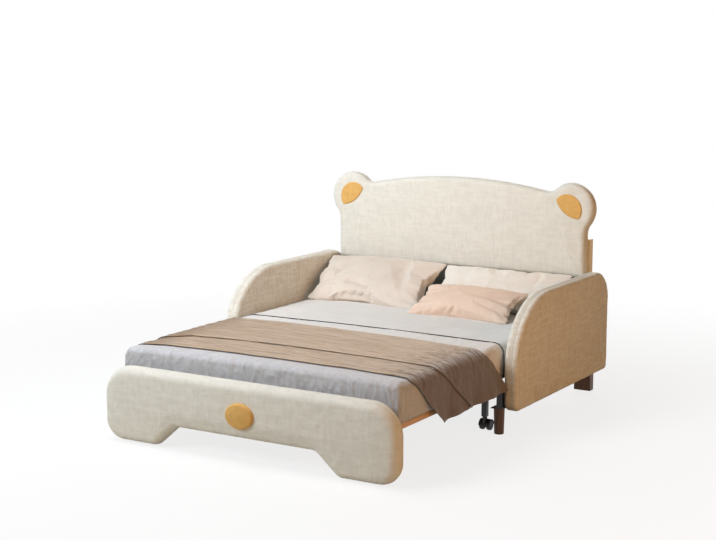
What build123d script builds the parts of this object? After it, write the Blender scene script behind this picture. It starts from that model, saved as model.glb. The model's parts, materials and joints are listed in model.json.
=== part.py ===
"""Upholstered pull-out bed for a child, shown pulled out.

The rear half is fixed: a padded headboard with two round ears, two padded side arms, side
rails, cross beams and slats. The front half slides out on casters: a padded footboard with two
paws and a nose, carried by a slatted frame whose slats lie between the fixed ones.

Millimetres. The origin is on the floor under the middle of the bed, +X is the right-hand side
seen from the foot, +Y points from the foot to the head and +Z up.
"""
from build123d import *
import os
from math import cos, radians, sin

os.makedirs("parts", exist_ok=True)

# Clearances between pieces
soft_gap = 0.3
running_gap = 0.05
bolt_gap = 0.3

# Lengths along the bed, from the foot to the head
nose_proud = 22.0
foot_pad_thick = 50.0
foot_board_thick = 24.0
foot_to_mattress = 36.0
front_mattress_length = 1007.0
mattress_seam = 6.0
rear_mattress_length = 987.0
mattress_to_panel = 26.0
panel_thick = 12.0
post_depth = 42.0
arm_overhang = 38.0
arm_lead = 57.0
rail_proud = 6.0
beam_gap = 2.0
rear_beam_inset = 90.0

# Mattress and slat levels
mattress_half_width = 772.0
mattress_thick = 192.0
slat_top = 254.0
slat_thick = 26.0
spacer_thick = 4.0
tube = 28.0
tube_wall = 1.5
tube_corner_radius = 3.0

# Footboard with two paws and a nose
foot_side_overhang = 39.0
foot_top = 370.0
foot_bottom = 8.0
foot_top_radius = 150.0
foot_bottom_radius = 100.0
paw_width = 303.0
paw_radius = 60.0
arch_inset = 424.0
arch_top = 112.0
arch_radius = 50.0
foot_edge_radius = 30.0
seam_radius = 6.0
board_inset = 2.0
nose_half_width = 77.0
nose_half_height = 67.0
nose_level = 224.0
nose_edge_radius = 16.0

# Headboard with two ears
head_pad_thick = 40.0
head_board_thick = 18.0
head_side_overhang = 8.0
head_bottom = 630.0
head_peak = 1142.0
head_arch_radius = 2822.0
head_foot_radius = 20.0
ear_inset = 90.0
ear_drop = 138.0
ear_radius = 137.0
waist_radius = 90.0
notch_radius = 55.0
head_edge_radius = 24.0
ear_patch_thick = 6.0
ear_patch_edge_radius = 3.0

# Posts, rear feet and the low back panel
post_width = 85.0
post_overhang = 10.0
post_top = 836.0
foot_block_height = 117.0
foot_block_width = 95.0
foot_block_depth = 50.0
foot_block_overhang = 21.0
foot_block_forward = 6.0
wood_edge_radius = 3.0
panel_bottom = 260.0
panel_gap = 2.0

# Side arms
arm_side_gap = 28.0
arm_pad_thick = 34.0
arm_board_thick = 6.0
arm_board_inset = 5.0
arm_bottom = 118.0
arm_top = 670.0
arm_curve_run = 380.0
arm_curve_rise = 330.0
arm_rear_top_radius = 150.0
arm_rear_bottom_radius = 30.0
arm_front_bottom_radius = 45.0
arm_edge_radius = 22.0
arm_groove_radius = 9.0

# Side rails, legs and brackets
rail_thick = 31.7
rail_bottom = 131.0
rail_height = 91.0
leg_side_inset = 28.0
leg_inset = 25.0
leg_foot_radius = 24.0
leg_top_radius = 27.0
leg_plate_thick = 3.0
leg_plate_width = 64.0
leg_plate_depth = 90.0
leg_edge_radius = 2.0
bracket_thick = 3.0
bracket_reach = 60.0
bracket_height = 75.0
bracket_level = 140.0
centre_leg_radius = 13.0

# Slats: boards of the pull-out frame and of the fixed frame take turns across the bed
pullout_rail_width = 60.0
pullout_rail_inset = 24.0
slat_width = 68.0
slat_edge_radius = 4.0
slat_steps = 12
slat_inset = 2.0
spacer_inset = 8.0
pullout_beam_depth = 26.0
pullout_beam_height = 36.0

# Bolts
bolt_radius = 4.0
bolt_head_radius = 7.5
bolt_head_height = 5.0
bolt_bite = 14.0
foot_bolt_insets = (108.0, 448.0)
foot_bolt_level = 206.0
arm_bolt_level = 176.0
arm_bolt_inset = 160.0
head_bolt_low = 700.0
head_bolt_high = 790.0

# Twin-wheel casters under the pull-out frame's rear beam
caster_inset = 63.0
caster_trail = 16.0
wheel_radius = 25.0
wheel_edge_radius = 4.0
axle_radius = 4.0
twin_wheel_width = 20.0
twin_web_thick = 14.0
wheel_side_gap = 2.0
hood_gap = 2.0
hood_wall = 3.0
web_low_radius = 13.0
collar_radius = 12.0
collar_clear = 1.0
stem_radius = 5.0
stem_length = 24.0
post_clearance = 72.0
plug_height = 30.0
swivel_gap = 0.5

# Fixed wheels behind the paws
front_wheel_side_inset = 201.0
front_wheel_inset = 38.0
front_wheel_width = 22.0
fork_cheek_thick = 3.0
fork_nose_radius = 12.0
fork_plate_half_width = 30.0
fork_plate_bottom = 20.0
fork_plate_top = 92.0
fork_root_low = 24.0
fork_root_high = 64.0

# Bedding
mattress_crown = 7.0
mattress_bulge = 6.0
mattress_top_radius = 46.0
mattress_bottom_radius = 30.0
mattress_end_radius = 24.0
back_pillow_spare = 24.0
left_pillow_tuck = 22.0
right_pillow_tuck = 42.0
back_pillow_side_gap = 14.0
back_pillow_gap = 12.0
left_pillow_height = 430.0
left_pillow_thick = 132.0
left_pillow_tilt = 29.5
right_pillow_height = 310.0
right_pillow_thick = 120.0
right_pillow_tilt = 42.0
back_pillow_top = 648.0
back_pillow_inset = 74.0
small_pillow_width = 590.0
small_pillow_height = 330.0
small_pillow_thick = 100.0
small_pillow_tuck = 26.0
small_pillow_tilt = 23.0
small_pillow_shift = 76.0
small_pillow_top = 567.0
small_pillow_inset = 286.0

# Throw folded double across the front mattress: its two layers, and the parts that hang down
throw_layer = 7.0
throw_front_left = 113.0
throw_front_right = 128.0
throw_rear_left = 862.0
throw_rear_right = 815.0
throw_fold_step = 225.0
throw_hang_top = 392.0
throw_top_right = (150.0, 805.0)
throw_hem_right = (384.0, 946.0)
throw_hem_levels_right = (188.0, 228.0)
throw_flares_right = (21.0, 48.0)
throw_top_left = (125.0, 850.0)
throw_hem_left = (135.0, 842.0)
throw_hem_levels_left = (262.0, 270.0)
throw_flares_left = (2.0, 2.0)
throw_fold_count = 5
throw_top_wave = 1.0
throw_right_wave = 9.0
throw_left_wave = 5.0
throw_overlap = 2.0
throw_overrun = 60.0

# Places worked out from the lengths
mattress_front_img = foot_pad_thick + foot_board_thick + foot_to_mattress
panel_front_img = (
    mattress_front_img + front_mattress_length + mattress_seam + rear_mattress_length + mattress_to_panel
)
arm_rear_img = panel_front_img + panel_thick + post_depth + arm_overhang
foot_front = nose_proud / 2 - arm_rear_img / 2
foot_seam = foot_front + foot_pad_thick
foot_back = foot_seam + foot_board_thick
front_mattress_front = foot_back + foot_to_mattress
front_mattress_rear = front_mattress_front + front_mattress_length
rear_mattress_front = front_mattress_rear + mattress_seam
rear_mattress_rear = rear_mattress_front + rear_mattress_length
panel_front = rear_mattress_rear + mattress_to_panel
post_front = panel_front + panel_thick
post_rear = post_front + post_depth
arm_rear = post_rear + arm_overhang
arm_front = rear_mattress_front - arm_lead
arm_length = arm_rear - arm_front
rail_front = arm_front - rail_proud
head_seam = post_front - head_board_thick
head_front = head_seam - head_pad_thick

foot_half_width = mattress_half_width + foot_side_overhang
paw_inner = foot_half_width - paw_width
arch_half_width = foot_half_width - arch_inset
head_half_width = mattress_half_width + head_side_overhang
ear_centre = head_half_width - ear_inset
ear_level = head_peak - ear_drop
post_outer = head_half_width + post_overhang
foot_block_outer = post_outer + foot_block_overhang
arm_inner = mattress_half_width + arm_side_gap
leg_centre = arm_inner - leg_side_inset
pullout_rail_outer = mattress_half_width - pullout_rail_inset
caster_centre = pullout_rail_outer - caster_inset
front_wheel_centre = foot_half_width - front_wheel_side_inset
foot_bolt_places = [pullout_rail_outer - inset for inset in foot_bolt_insets]
back_pillow_width = mattress_half_width - back_pillow_spare
left_pillow_centre = back_pillow_side_gap + back_pillow_width / 2 - arm_inner
right_pillow_centre = left_pillow_centre + back_pillow_width + back_pillow_gap
small_pillow_centre = right_pillow_centre - small_pillow_shift

beam_top = slat_top - slat_thick - spacer_thick
beam_bottom = beam_top - tube
mattress_top = slat_top + mattress_thick
front_beam_centre = rail_front + tube / 2
pullout_rear_beam_centre = front_beam_centre + tube + beam_gap
rear_beam_centre = post_front - rear_beam_inset - tube / 2
rail_outer = arm_inner - soft_gap
rail_inner = rail_outer - rail_thick
leg_place = rail_front + leg_inset
leg_height = rail_bottom - leg_plate_thick
pullout_rail_centre = pullout_rail_outer - pullout_rail_width / 2
slat_pitch = 2 * pullout_rail_centre / slat_steps
pullout_beam_rear = foot_back + pullout_beam_depth
axle_place = pullout_rear_beam_centre + caster_trail
hood_inner_radius = wheel_radius + hood_gap
hood_outer_radius = hood_inner_radius + hood_wall
wheel_inner_face = twin_web_thick / 2 + wheel_side_gap
axle_half_length = wheel_inner_face + twin_wheel_width
front_axle_place = foot_back + front_wheel_inset
collar_start = wheel_radius + hood_outer_radius + collar_clear
quarter_turn = 90
sides = (("left", -1), ("right", 1))


def save(piece, label):
    """Label a finished piece and write its STEP file."""
    piece.part.label = label
    export_step(piece.part, f"parts/{label}.step")


def front_view(y):
    """Plane at depth y seen from the foot: local x is across the bed, local y is up."""
    return Plane.XZ.offset(-y)


def side_view(x):
    """Plane at x: local x runs towards the headboard, local y is up."""
    return Plane.YZ.offset(x)


def level(z):
    """Horizontal plane at height z."""
    return Plane.XY.offset(z)


# Square tube section about the origin
with BuildSketch() as tube_section:
    RectangleRounded(tube, tube, tube_corner_radius)
    Rectangle(tube - 2 * tube_wall, tube - 2 * tube_wall, mode=Mode.SUBTRACT)

# Footboard: two paws below a flat arch, with every corner rounded
right_corners = [
    (foot_half_width, foot_top),
    (foot_half_width, foot_bottom),
    (paw_inner, foot_bottom),
    (arch_half_width, arch_top),
]
left_corners = [(-x, z) for x, z in reversed(right_corners)]
corner_radii = [foot_top_radius, foot_bottom_radius, paw_radius, arch_radius]
with BuildSketch() as foot_face:
    with BuildLine():
        FilletPolyline(
            *right_corners, *left_corners, radius=corner_radii + corner_radii[::-1], close=True
        )
    make_face()

foot_bolt_points = [(s * x, foot_bolt_level) for x in foot_bolt_places for s in (-1, 1)]

with BuildPart() as footboard_pad:
    with BuildSketch(front_view(foot_front)):
        add(foot_face.sketch)
    extrude(amount=-foot_pad_thick)
    fillet(footboard_pad.faces().sort_by(Axis.Y)[0].edges(), foot_edge_radius)
    fillet(footboard_pad.faces().sort_by(Axis.Y)[-1].edges(), seam_radius)
save(footboard_pad, "footboard_pad")

with BuildPart() as footboard_board:
    with BuildSketch(front_view(foot_seam)):
        add(foot_face.sketch)
        offset(amount=-board_inset)
    extrude(amount=-foot_board_thick)
    fillet(footboard_board.faces().sort_by(Axis.Y)[-1].edges(), seam_radius)
    with BuildSketch(front_view(foot_back)):
        with Locations(*foot_bolt_points):
            Circle(bolt_radius + bolt_gap)
    extrude(amount=bolt_bite, mode=Mode.SUBTRACT)
save(footboard_board, "footboard_board")

with BuildPart() as nose:
    with BuildSketch(front_view(foot_front)):
        with Locations((0, nose_level)):
            Ellipse(nose_half_width, nose_half_height)
    extrude(amount=nose_proud)
    fillet(nose.faces().sort_by(Axis.Y)[0].edges(), nose_edge_radius)
save(nose, "nose")


# Headboard
def below_ears(vertex):
    """Whether a vertex is the sharp corner where a side of the board meets the ear above it."""
    return vertex.X**2 > ear_centre**2 and head_bottom + head_foot_radius < vertex.Y < ear_level


def between_ears(vertex):
    """Whether a vertex is the sharp corner where the arched top meets an ear."""
    return vertex.X**2 < ear_centre**2 and vertex.Y > ear_level


def headboard_outline(inset):
    """A flat-sided board with an arched top and a round ear at each corner, drawn in evenly.

    The arch is a circle about a point far below. The inner corners between the ears, the sides
    and the arch are rounded.
    """
    half = head_half_width - inset
    peak = head_peak - inset
    arch_radius = head_arch_radius - inset
    shoulder = peak - arch_radius + (arch_radius**2 - half**2) ** 0.5
    with BuildSketch() as outline:
        with BuildLine():
            Polyline(
                (-half, shoulder),
                (-half, head_bottom + inset),
                (half, head_bottom + inset),
                (half, shoulder),
            )
            ThreePointArc((half, shoulder), (0, peak), (-half, shoulder))
        make_face()
        with Locations((-ear_centre, ear_level), (ear_centre, ear_level)):
            Circle(ear_radius - inset)
        fillet(outline.vertices().filter_by(below_ears), waist_radius + inset)
        fillet(outline.vertices().filter_by(between_ears), notch_radius + inset)
        fillet(outline.vertices().group_by(Axis.Y)[0], head_foot_radius - inset)
    return outline.sketch


head_bolt_points = [
    (s * (post_outer - post_width / 2), z) for z in (head_bolt_low, head_bolt_high) for s in (-1, 1)
]

with BuildPart() as headboard_pad:
    with BuildSketch(front_view(head_front)):
        add(headboard_outline(0))
    extrude(amount=-head_pad_thick)
    fillet(headboard_pad.faces().sort_by(Axis.Y)[0].edges(), head_edge_radius)
    fillet(headboard_pad.faces().sort_by(Axis.Y)[-1].edges(), seam_radius)
save(headboard_pad, "headboard_pad")

with BuildPart() as headboard_board:
    with BuildSketch(front_view(head_seam)):
        add(headboard_outline(board_inset))
    extrude(amount=-head_board_thick)
    fillet(headboard_board.faces().sort_by(Axis.Y)[-1].edges(), seam_radius)
    with BuildSketch(front_view(post_front)):
        with Locations(*head_bolt_points):
            Circle(bolt_radius + bolt_gap)
    extrude(amount=bolt_bite, mode=Mode.SUBTRACT)
save(headboard_board, "headboard_board")

# Leaf-shaped patch inside each ear: two arcs between an upper inner tip and a lower outer tip,
# in shares of the ear's radius from its centre
patch_tip_share = (-0.57, 0.36)
patch_out_share = (0.37, 0.38)
patch_low_share = (0.40, -0.39)
patch_in_share = (-0.24, -0.15)

for side, sign in sides:
    tip, out, low, back = [
        (sign * (ear_centre + x * ear_radius), ear_level + z * ear_radius)
        for x, z in (patch_tip_share, patch_out_share, patch_low_share, patch_in_share)
    ]
    with BuildPart() as ear_patch:
        with BuildSketch(front_view(head_front)):
            with BuildLine():
                ThreePointArc(tip, out, low)
                ThreePointArc(low, back, tip)
            make_face()
        extrude(amount=ear_patch_thick)
        fillet(ear_patch.faces().sort_by(Axis.Y)[0].edges(), ear_patch_edge_radius)
    save(ear_patch, f"ear_patch_{side}")

# Low back panel behind the mattress, below the headboard
with BuildPart() as low_back_panel:
    with BuildSketch(front_view(panel_front)):
        panel_top = head_bottom - panel_gap
        with Locations((0, (panel_bottom + panel_top) / 2)):
            Rectangle(2 * head_half_width, panel_top - panel_bottom)
    extrude(amount=-panel_thick)
    fillet(low_back_panel.edges().filter_by(Axis.Y), wood_edge_radius)
save(low_back_panel, "low_back_panel")

# Posts behind the headboard, each standing on a dark block foot
for side, sign in sides:
    with BuildPart() as post:
        with BuildSketch(level(foot_block_height)):
            with Locations((sign * (post_outer - post_width / 2), post_front + post_depth / 2)):
                Rectangle(post_width, post_depth)
        extrude(amount=post_top - foot_block_height)
        fillet(post.edges().filter_by(Axis.Z), wood_edge_radius)
        with BuildSketch(front_view(post_rear)):
            with Locations(*[(x, z) for x, z in head_bolt_points if x * sign > 0]):
                Circle(bolt_radius + bolt_gap)
        extrude(amount=post_depth, mode=Mode.SUBTRACT)
    save(post, f"headboard_post_{side}")

    with BuildPart() as foot_block:
        foot_block_rear = post_front - foot_block_forward + foot_block_depth
        with BuildSketch(level(0)):
            with Locations(
                (sign * (foot_block_outer - foot_block_width / 2), foot_block_rear - foot_block_depth / 2)
            ):
                Rectangle(foot_block_width, foot_block_depth)
        extrude(amount=foot_block_height)
        fillet(foot_block.edges().filter_by(Axis.Z), wood_edge_radius)
    save(foot_block, f"rear_foot_{side}")


# Side arms: a thin board between two padded layers, with a groove where the layers meet
def arm_outline(inset):
    """Side outline with a wide elliptical front curve, drawn in by the inset all round."""
    front = arm_front + inset
    rear = arm_rear - inset
    top = arm_top - inset
    bottom = arm_bottom + inset
    with BuildSketch() as outline:
        with BuildLine():
            curve = EllipticalCenterArc(
                (arm_front + arm_curve_run, arm_top - arm_curve_rise),
                arm_curve_run - inset,
                arm_curve_rise - inset,
                start_angle=quarter_turn,
                arc_size=quarter_turn,
            )
            Polyline(curve @ 1, (front, bottom), (rear, bottom), (rear, top), curve @ 0)
        make_face()
        rear_high = outline.vertices().sort_by(Axis.X)[-2:].sort_by(Axis.Y)[-1]
        fillet(rear_high, arm_rear_top_radius - inset)
        rear_low = outline.vertices().sort_by(Axis.Y)[:2].sort_by(Axis.X)[-1]
        fillet(rear_low, arm_rear_bottom_radius - inset)
        front_low = outline.vertices().sort_by(Axis.X)[:2].sort_by(Axis.Y)[0]
        fillet(front_low, arm_front_bottom_radius - inset)
    return outline.sketch


arm_bolt_span = (arm_length - 2 * arm_bolt_inset) / 2
arm_bolt_points = [
    (arm_front + arm_bolt_inset + step * arm_bolt_span, arm_bolt_level) for step in range(3)
]
arm_pad_face = arm_outline(0)
arm_board_face = arm_outline(arm_board_inset)
arm_board_in = arm_inner + arm_pad_thick
arm_board_out = arm_board_in + arm_board_thick

for side, sign in sides:
    outwards = Axis.X if sign > 0 else -Axis.X
    with BuildPart() as inner_pad:
        with BuildSketch(side_view(sign * arm_inner)):
            add(arm_pad_face)
        extrude(amount=sign * arm_pad_thick)
        fillet(inner_pad.faces().sort_by(outwards)[0].edges(), arm_edge_radius)
        fillet(inner_pad.faces().sort_by(outwards)[-1].edges(), arm_groove_radius)
        with BuildSketch(side_view(sign * arm_inner)):
            with Locations(*arm_bolt_points):
                Circle(bolt_radius + bolt_gap)
        extrude(amount=sign * (bolt_bite + bolt_gap), mode=Mode.SUBTRACT)
    save(inner_pad, f"arm_inner_pad_{side}")

    with BuildPart() as arm_board:
        with BuildSketch(side_view(sign * arm_board_in)):
            add(arm_board_face)
        extrude(amount=sign * arm_board_thick)
    save(arm_board, f"arm_board_{side}")

    with BuildPart() as outer_pad:
        with BuildSketch(side_view(sign * arm_board_out)):
            add(arm_pad_face)
        extrude(amount=sign * arm_pad_thick)
        fillet(outer_pad.faces().sort_by(outwards)[-1].edges(), arm_edge_radius)
        fillet(outer_pad.faces().sort_by(outwards)[0].edges(), arm_groove_radius)
    save(outer_pad, f"arm_outer_pad_{side}")

# Fixed frame: side rails, round front legs, corner brackets and cross beams
for side, sign in sides:
    rail_middle = sign * (rail_inner + rail_thick / 2)
    with BuildPart() as side_rail:
        with BuildSketch(front_view(rail_front)):
            with Locations((rail_middle, rail_bottom + rail_height / 2)):
                RectangleRounded(rail_thick, rail_height, wood_edge_radius)
        extrude(amount=rail_front - post_front)
        with BuildSketch(side_view(sign * rail_inner)):
            with Locations(*arm_bolt_points):
                Circle(bolt_radius + bolt_gap)
        extrude(amount=sign * rail_thick, mode=Mode.SUBTRACT)
    save(side_rail, f"side_rail_{side}")

    with BuildPart() as front_leg:
        axis = Axis((sign * leg_centre, leg_place, 0), (0, 0, 1))
        with BuildSketch(front_view(leg_place)):
            with BuildLine():
                Polyline(
                    (sign * leg_centre, 0),
                    (sign * (leg_centre + leg_foot_radius), 0),
                    (sign * (leg_centre + leg_top_radius), leg_height),
                    (sign * leg_centre, leg_height),
                    close=True,
                )
            make_face()
        revolve(axis=axis)
        fillet(front_leg.edges().sort_by(Axis.Z)[0], leg_edge_radius)
        with BuildSketch(level(leg_height)):
            plate_middle = rail_outer - leg_plate_width / 2
            with Locations((sign * plate_middle, rail_front + leg_plate_depth / 2)):
                RectangleRounded(leg_plate_width, leg_plate_depth, wood_edge_radius)
        extrude(amount=leg_plate_thick)
    save(front_leg, f"front_leg_{side}")

for name, centre in (("front", front_beam_centre), ("rear", rear_beam_centre)):
    with BuildPart() as cross_beam:
        with BuildSketch(side_view(-rail_inner)):
            with Locations((centre, beam_top - tube / 2)):
                add(tube_section.sketch)
        extrude(amount=2 * rail_inner)
    save(cross_beam, f"{name}_cross_beam")

with BuildPart() as centre_legs:
    with BuildSketch(level(0)):
        with Locations((0, front_beam_centre), (0, rear_beam_centre)):
            Circle(centre_leg_radius)
    extrude(amount=beam_bottom)
save(centre_legs, "centre_legs")

with BuildPart() as rail_brackets:
    for side, sign in sides:
        with BuildSketch(level(bracket_level)):
            corner = (sign * rail_inner, post_front)
            with BuildLine():
                Polyline(
                    corner,
                    (corner[0] - sign * bracket_reach, post_front),
                    (corner[0] - sign * bracket_reach, post_front - bracket_thick),
                    (corner[0] - sign * bracket_thick, post_front - bracket_thick),
                    (corner[0] - sign * bracket_thick, post_front - bracket_reach),
                    (corner[0], post_front - bracket_reach),
                    close=True,
                )
            make_face()
        extrude(amount=bracket_height)
save(rail_brackets, "rail_brackets")

# Bolts of the fixed frame: arms to side rails, and posts to the headboard
with BuildPart() as frame_bolts:
    for side, sign in sides:
        with BuildSketch(side_view(sign * rail_inner)):
            with Locations(*arm_bolt_points):
                Circle(bolt_head_radius)
        extrude(amount=-sign * bolt_head_height)
        with BuildSketch(side_view(sign * rail_inner)):
            with Locations(*arm_bolt_points):
                Circle(bolt_radius)
        extrude(amount=sign * (rail_thick + soft_gap + bolt_bite))
    with BuildSketch(front_view(post_rear)):
        with Locations(*head_bolt_points):
            Circle(bolt_head_radius)
    extrude(amount=-bolt_head_height)
    with BuildSketch(front_view(post_rear)):
        with Locations(*head_bolt_points):
            Circle(bolt_radius)
    extrude(amount=post_depth + bolt_bite - bolt_gap)
save(frame_bolts, "frame_bolts")


# Slats, each with a spacer under it on every beam that carries it
def slat(x, width, top, span):
    """A board with softened long edges."""
    start, end = span
    bottom = beam_top + spacer_thick
    with BuildPart() as board:
        with BuildSketch(front_view(start)):
            with Locations((x, (bottom + top) / 2)):
                RectangleRounded(width, top - bottom, slat_edge_radius)
        extrude(amount=start - end)
    return board.part


def spacers(rows, seats):
    """Flat spacers, one for each board and beam; a row is the place and width of a board."""
    with BuildPart() as pads:
        with BuildSketch(level(beam_top)):
            for centre, depth in seats:
                for x, width in rows:
                    with Locations((x, centre)):
                        Rectangle(width - 2 * spacer_inset, depth)
        extrude(amount=spacer_thick)
    return pads.part


fixed_seats = ((front_beam_centre, tube), (rear_beam_centre, tube))
pullout_seats = (
    (pullout_beam_rear - pullout_beam_depth / 2 + slat_inset / 2, pullout_beam_depth - slat_inset),
    (pullout_rear_beam_centre, tube),
)
fixed_span = (front_beam_centre - tube / 2, rear_beam_centre + tube / 2)
pullout_span = (foot_back + slat_inset, pullout_rear_beam_centre + tube / 2)
slat_places = [-pullout_rail_centre + step * slat_pitch for step in range(slat_steps + 1)]
fixed_rows = [(x, slat_width) for x in slat_places[1::2]]
pullout_rows = [(x, slat_width) for x in slat_places[2:-2:2]]
rail_rows = [(-pullout_rail_centre, pullout_rail_width), (pullout_rail_centre, pullout_rail_width)]

for number, (x, width) in enumerate(fixed_rows):
    with BuildPart() as fixed_slat:
        add(slat(x, width, slat_top, fixed_span))
    save(fixed_slat, f"fixed_slat_{number + 1}")

for number, (x, width) in enumerate(pullout_rows):
    with BuildPart() as pullout_slat:
        add(slat(x, width, slat_top - soft_gap, pullout_span))
    save(pullout_slat, f"pullout_slat_{number + 1}")

for (side, sign), (x, width) in zip(sides, rail_rows):
    with BuildPart() as pullout_rail:
        add(slat(x, width, slat_top - soft_gap, pullout_span))
    save(pullout_rail, f"pullout_rail_{side}")

with BuildPart() as fixed_spacers:
    add(spacers(fixed_rows, fixed_seats))
save(fixed_spacers, "fixed_spacers")

with BuildPart() as pullout_spacers:
    add(spacers(pullout_rows + rail_rows, pullout_seats))
save(pullout_spacers, "pullout_spacers")

# Beams of the pull-out frame: a wooden bar bolted to the footboard, and a steel tube at the rear
with BuildPart() as pullout_front_beam:
    with BuildSketch(side_view(-pullout_rail_outer)):
        with Locations((foot_back + pullout_beam_depth / 2, beam_top - pullout_beam_height / 2)):
            RectangleRounded(pullout_beam_depth, pullout_beam_height, wood_edge_radius)
    extrude(amount=2 * pullout_rail_outer)
    with BuildSketch(front_view(pullout_beam_rear)):
        with Locations(*foot_bolt_points):
            Circle(bolt_radius + bolt_gap)
    extrude(amount=pullout_beam_depth, mode=Mode.SUBTRACT)
save(pullout_front_beam, "pullout_front_beam")

with BuildPart() as pullout_rear_beam:
    with BuildSketch(side_view(-pullout_rail_outer)):
        with Locations((pullout_rear_beam_centre, beam_top - tube / 2)):
            add(tube_section.sketch)
    extrude(amount=2 * pullout_rail_outer)
save(pullout_rear_beam, "pullout_rear_beam")

with BuildPart() as footboard_bolts:
    with BuildSketch(front_view(pullout_beam_rear)):
        with Locations(*foot_bolt_points):
            Circle(bolt_head_radius)
    extrude(amount=-bolt_head_height)
    with BuildSketch(front_view(pullout_beam_rear)):
        with Locations(*foot_bolt_points):
            Circle(bolt_radius)
    extrude(amount=pullout_beam_depth + bolt_bite - bolt_gap)
save(footboard_bolts, "footboard_bolts")


def wheel(x, centre, width):
    """Wheel from x towards +X with rounded tread edges and a bore for the axle."""
    with BuildPart() as disc:
        with BuildSketch(side_view(x)):
            with Locations((centre, wheel_radius)):
                Circle(wheel_radius)
        extrude(amount=width)
        fillet(disc.edges().filter_by(GeomType.CIRCLE), wheel_edge_radius)
        with BuildSketch(side_view(x)):
            with Locations((centre, wheel_radius)):
                Circle(axle_radius + running_gap)
        extrude(amount=width, mode=Mode.SUBTRACT)
    return disc.part


# Casters: a post with a plug, a swivelling housing and two wheels
for side, sign in sides:
    stem_x = sign * caster_centre
    with BuildPart() as caster_post:
        with BuildSketch(level(post_clearance)):
            with Locations((stem_x, pullout_rear_beam_centre)):
                add(tube_section.sketch)
        extrude(amount=beam_bottom - post_clearance)
        with BuildSketch(level(post_clearance)):
            with Locations((stem_x, pullout_rear_beam_centre)):
                Rectangle(tube - tube_wall, tube - tube_wall)
                Circle(stem_radius + running_gap, mode=Mode.SUBTRACT)
        extrude(amount=plug_height)
    save(caster_post, f"caster_post_{side}")

    with BuildPart() as caster_housing:
        axle = (axle_place, wheel_radius)
        with BuildSketch(side_view(stem_x - axle_half_length)):
            with Locations(axle):
                Circle(hood_outer_radius)
                Circle(hood_inner_radius, mode=Mode.SUBTRACT)
            with Locations((axle_place, wheel_radius - hood_outer_radius / 2)):
                Rectangle(2 * hood_outer_radius, hood_outer_radius, mode=Mode.SUBTRACT)
        extrude(amount=2 * axle_half_length)
        with BuildSketch(side_view(stem_x - twin_web_thick / 2)):
            with Locations(axle):
                Circle(hood_inner_radius + hood_wall / 2)
            with Locations((axle_place, wheel_radius - hood_outer_radius / 2)):
                Rectangle(2 * hood_outer_radius, hood_outer_radius, mode=Mode.SUBTRACT)
            with Locations(axle):
                Circle(web_low_radius)
            with Locations((pullout_rear_beam_centre, (wheel_radius + collar_start) / 2)):
                Rectangle(2 * collar_radius, collar_start - wheel_radius)
        extrude(amount=twin_web_thick)
        with BuildSketch(side_view(stem_x - axle_half_length)):
            with Locations(axle):
                Circle(axle_radius)
        extrude(amount=2 * axle_half_length)
        with BuildSketch(level(collar_start)):
            with Locations((stem_x, pullout_rear_beam_centre)):
                Circle(collar_radius)
        extrude(amount=post_clearance - swivel_gap - collar_start)
        with BuildSketch(level(post_clearance - swivel_gap)):
            with Locations((stem_x, pullout_rear_beam_centre)):
                Circle(stem_radius)
        extrude(amount=stem_length)
    save(caster_housing, f"caster_housing_{side}")

    with BuildPart() as caster_wheels:
        for start in (stem_x - axle_half_length, stem_x + wheel_inner_face):
            add(wheel(start, axle_place, twin_wheel_width))
    save(caster_wheels, f"caster_wheels_{side}")

# Fixed wheels behind the paws, each in a two-cheek fork on the back of the footboard
cheek_inner = front_wheel_width / 2 + wheel_side_gap
with BuildPart() as front_wheel_forks:
    for side, sign in sides:
        x = sign * front_wheel_centre
        with BuildSketch(front_view(foot_back)):
            with Locations((x, (fork_plate_bottom + fork_plate_top) / 2)):
                Rectangle(2 * fork_plate_half_width, fork_plate_top - fork_plate_bottom)
        extrude(amount=-bracket_thick)
        for start in (x - cheek_inner - fork_cheek_thick, x + cheek_inner):
            with BuildSketch(side_view(start)):
                with BuildLine():
                    CenterArc((front_axle_place, wheel_radius), fork_nose_radius, 0, 4 * quarter_turn)
                    Line((foot_back, fork_root_low), (foot_back, fork_root_high))
                make_hull()
            extrude(amount=fork_cheek_thick)
        with BuildSketch(side_view(x - cheek_inner)):
            with Locations((front_axle_place, wheel_radius)):
                Circle(axle_radius)
        extrude(amount=2 * cheek_inner)
save(front_wheel_forks, "front_wheel_forks")

for side, sign in sides:
    x = sign * front_wheel_centre
    with BuildPart() as front_wheel:
        add(wheel(x - front_wheel_width / 2, front_axle_place, front_wheel_width))
    save(front_wheel, f"front_wheel_{side}")


# Mattress in two sections
def mattress_section(grow):
    """Cross-section with a crowned top and slightly bulging sides, grown evenly outwards."""
    half = mattress_half_width - mattress_bulge + grow
    bulge = mattress_half_width + grow
    low = slat_top - grow
    high = mattress_top - mattress_crown + grow
    middle = (slat_top + mattress_top - mattress_crown) / 2
    with BuildSketch() as section:
        with BuildLine():
            Line((-half, low), (half, low))
            ThreePointArc((half, low), (bulge, middle), (half, high))
            ThreePointArc((half, high), (0, mattress_top + grow), (-half, high))
            ThreePointArc((-half, high), (-bulge, middle), (-half, low))
        make_face()
        fillet(section.vertices().group_by(Axis.Y)[-1], mattress_top_radius + grow)
        fillet(section.vertices().group_by(Axis.Y)[0], mattress_bottom_radius + grow)
    return section.sketch


mattress_face = mattress_section(0)
for label, start, end in (
    ("front_mattress", front_mattress_front, front_mattress_rear),
    ("rear_mattress", rear_mattress_front, rear_mattress_rear),
):
    with BuildPart() as mattress:
        with BuildSketch(front_view(start)):
            add(mattress_face)
        extrude(amount=start - end)
        fillet(mattress.faces().sort_by(Axis.Y)[0].edges(), mattress_end_radius)
        fillet(mattress.faces().sort_by(Axis.Y)[-1].edges(), mattress_end_radius)
    save(mattress, label)


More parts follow.
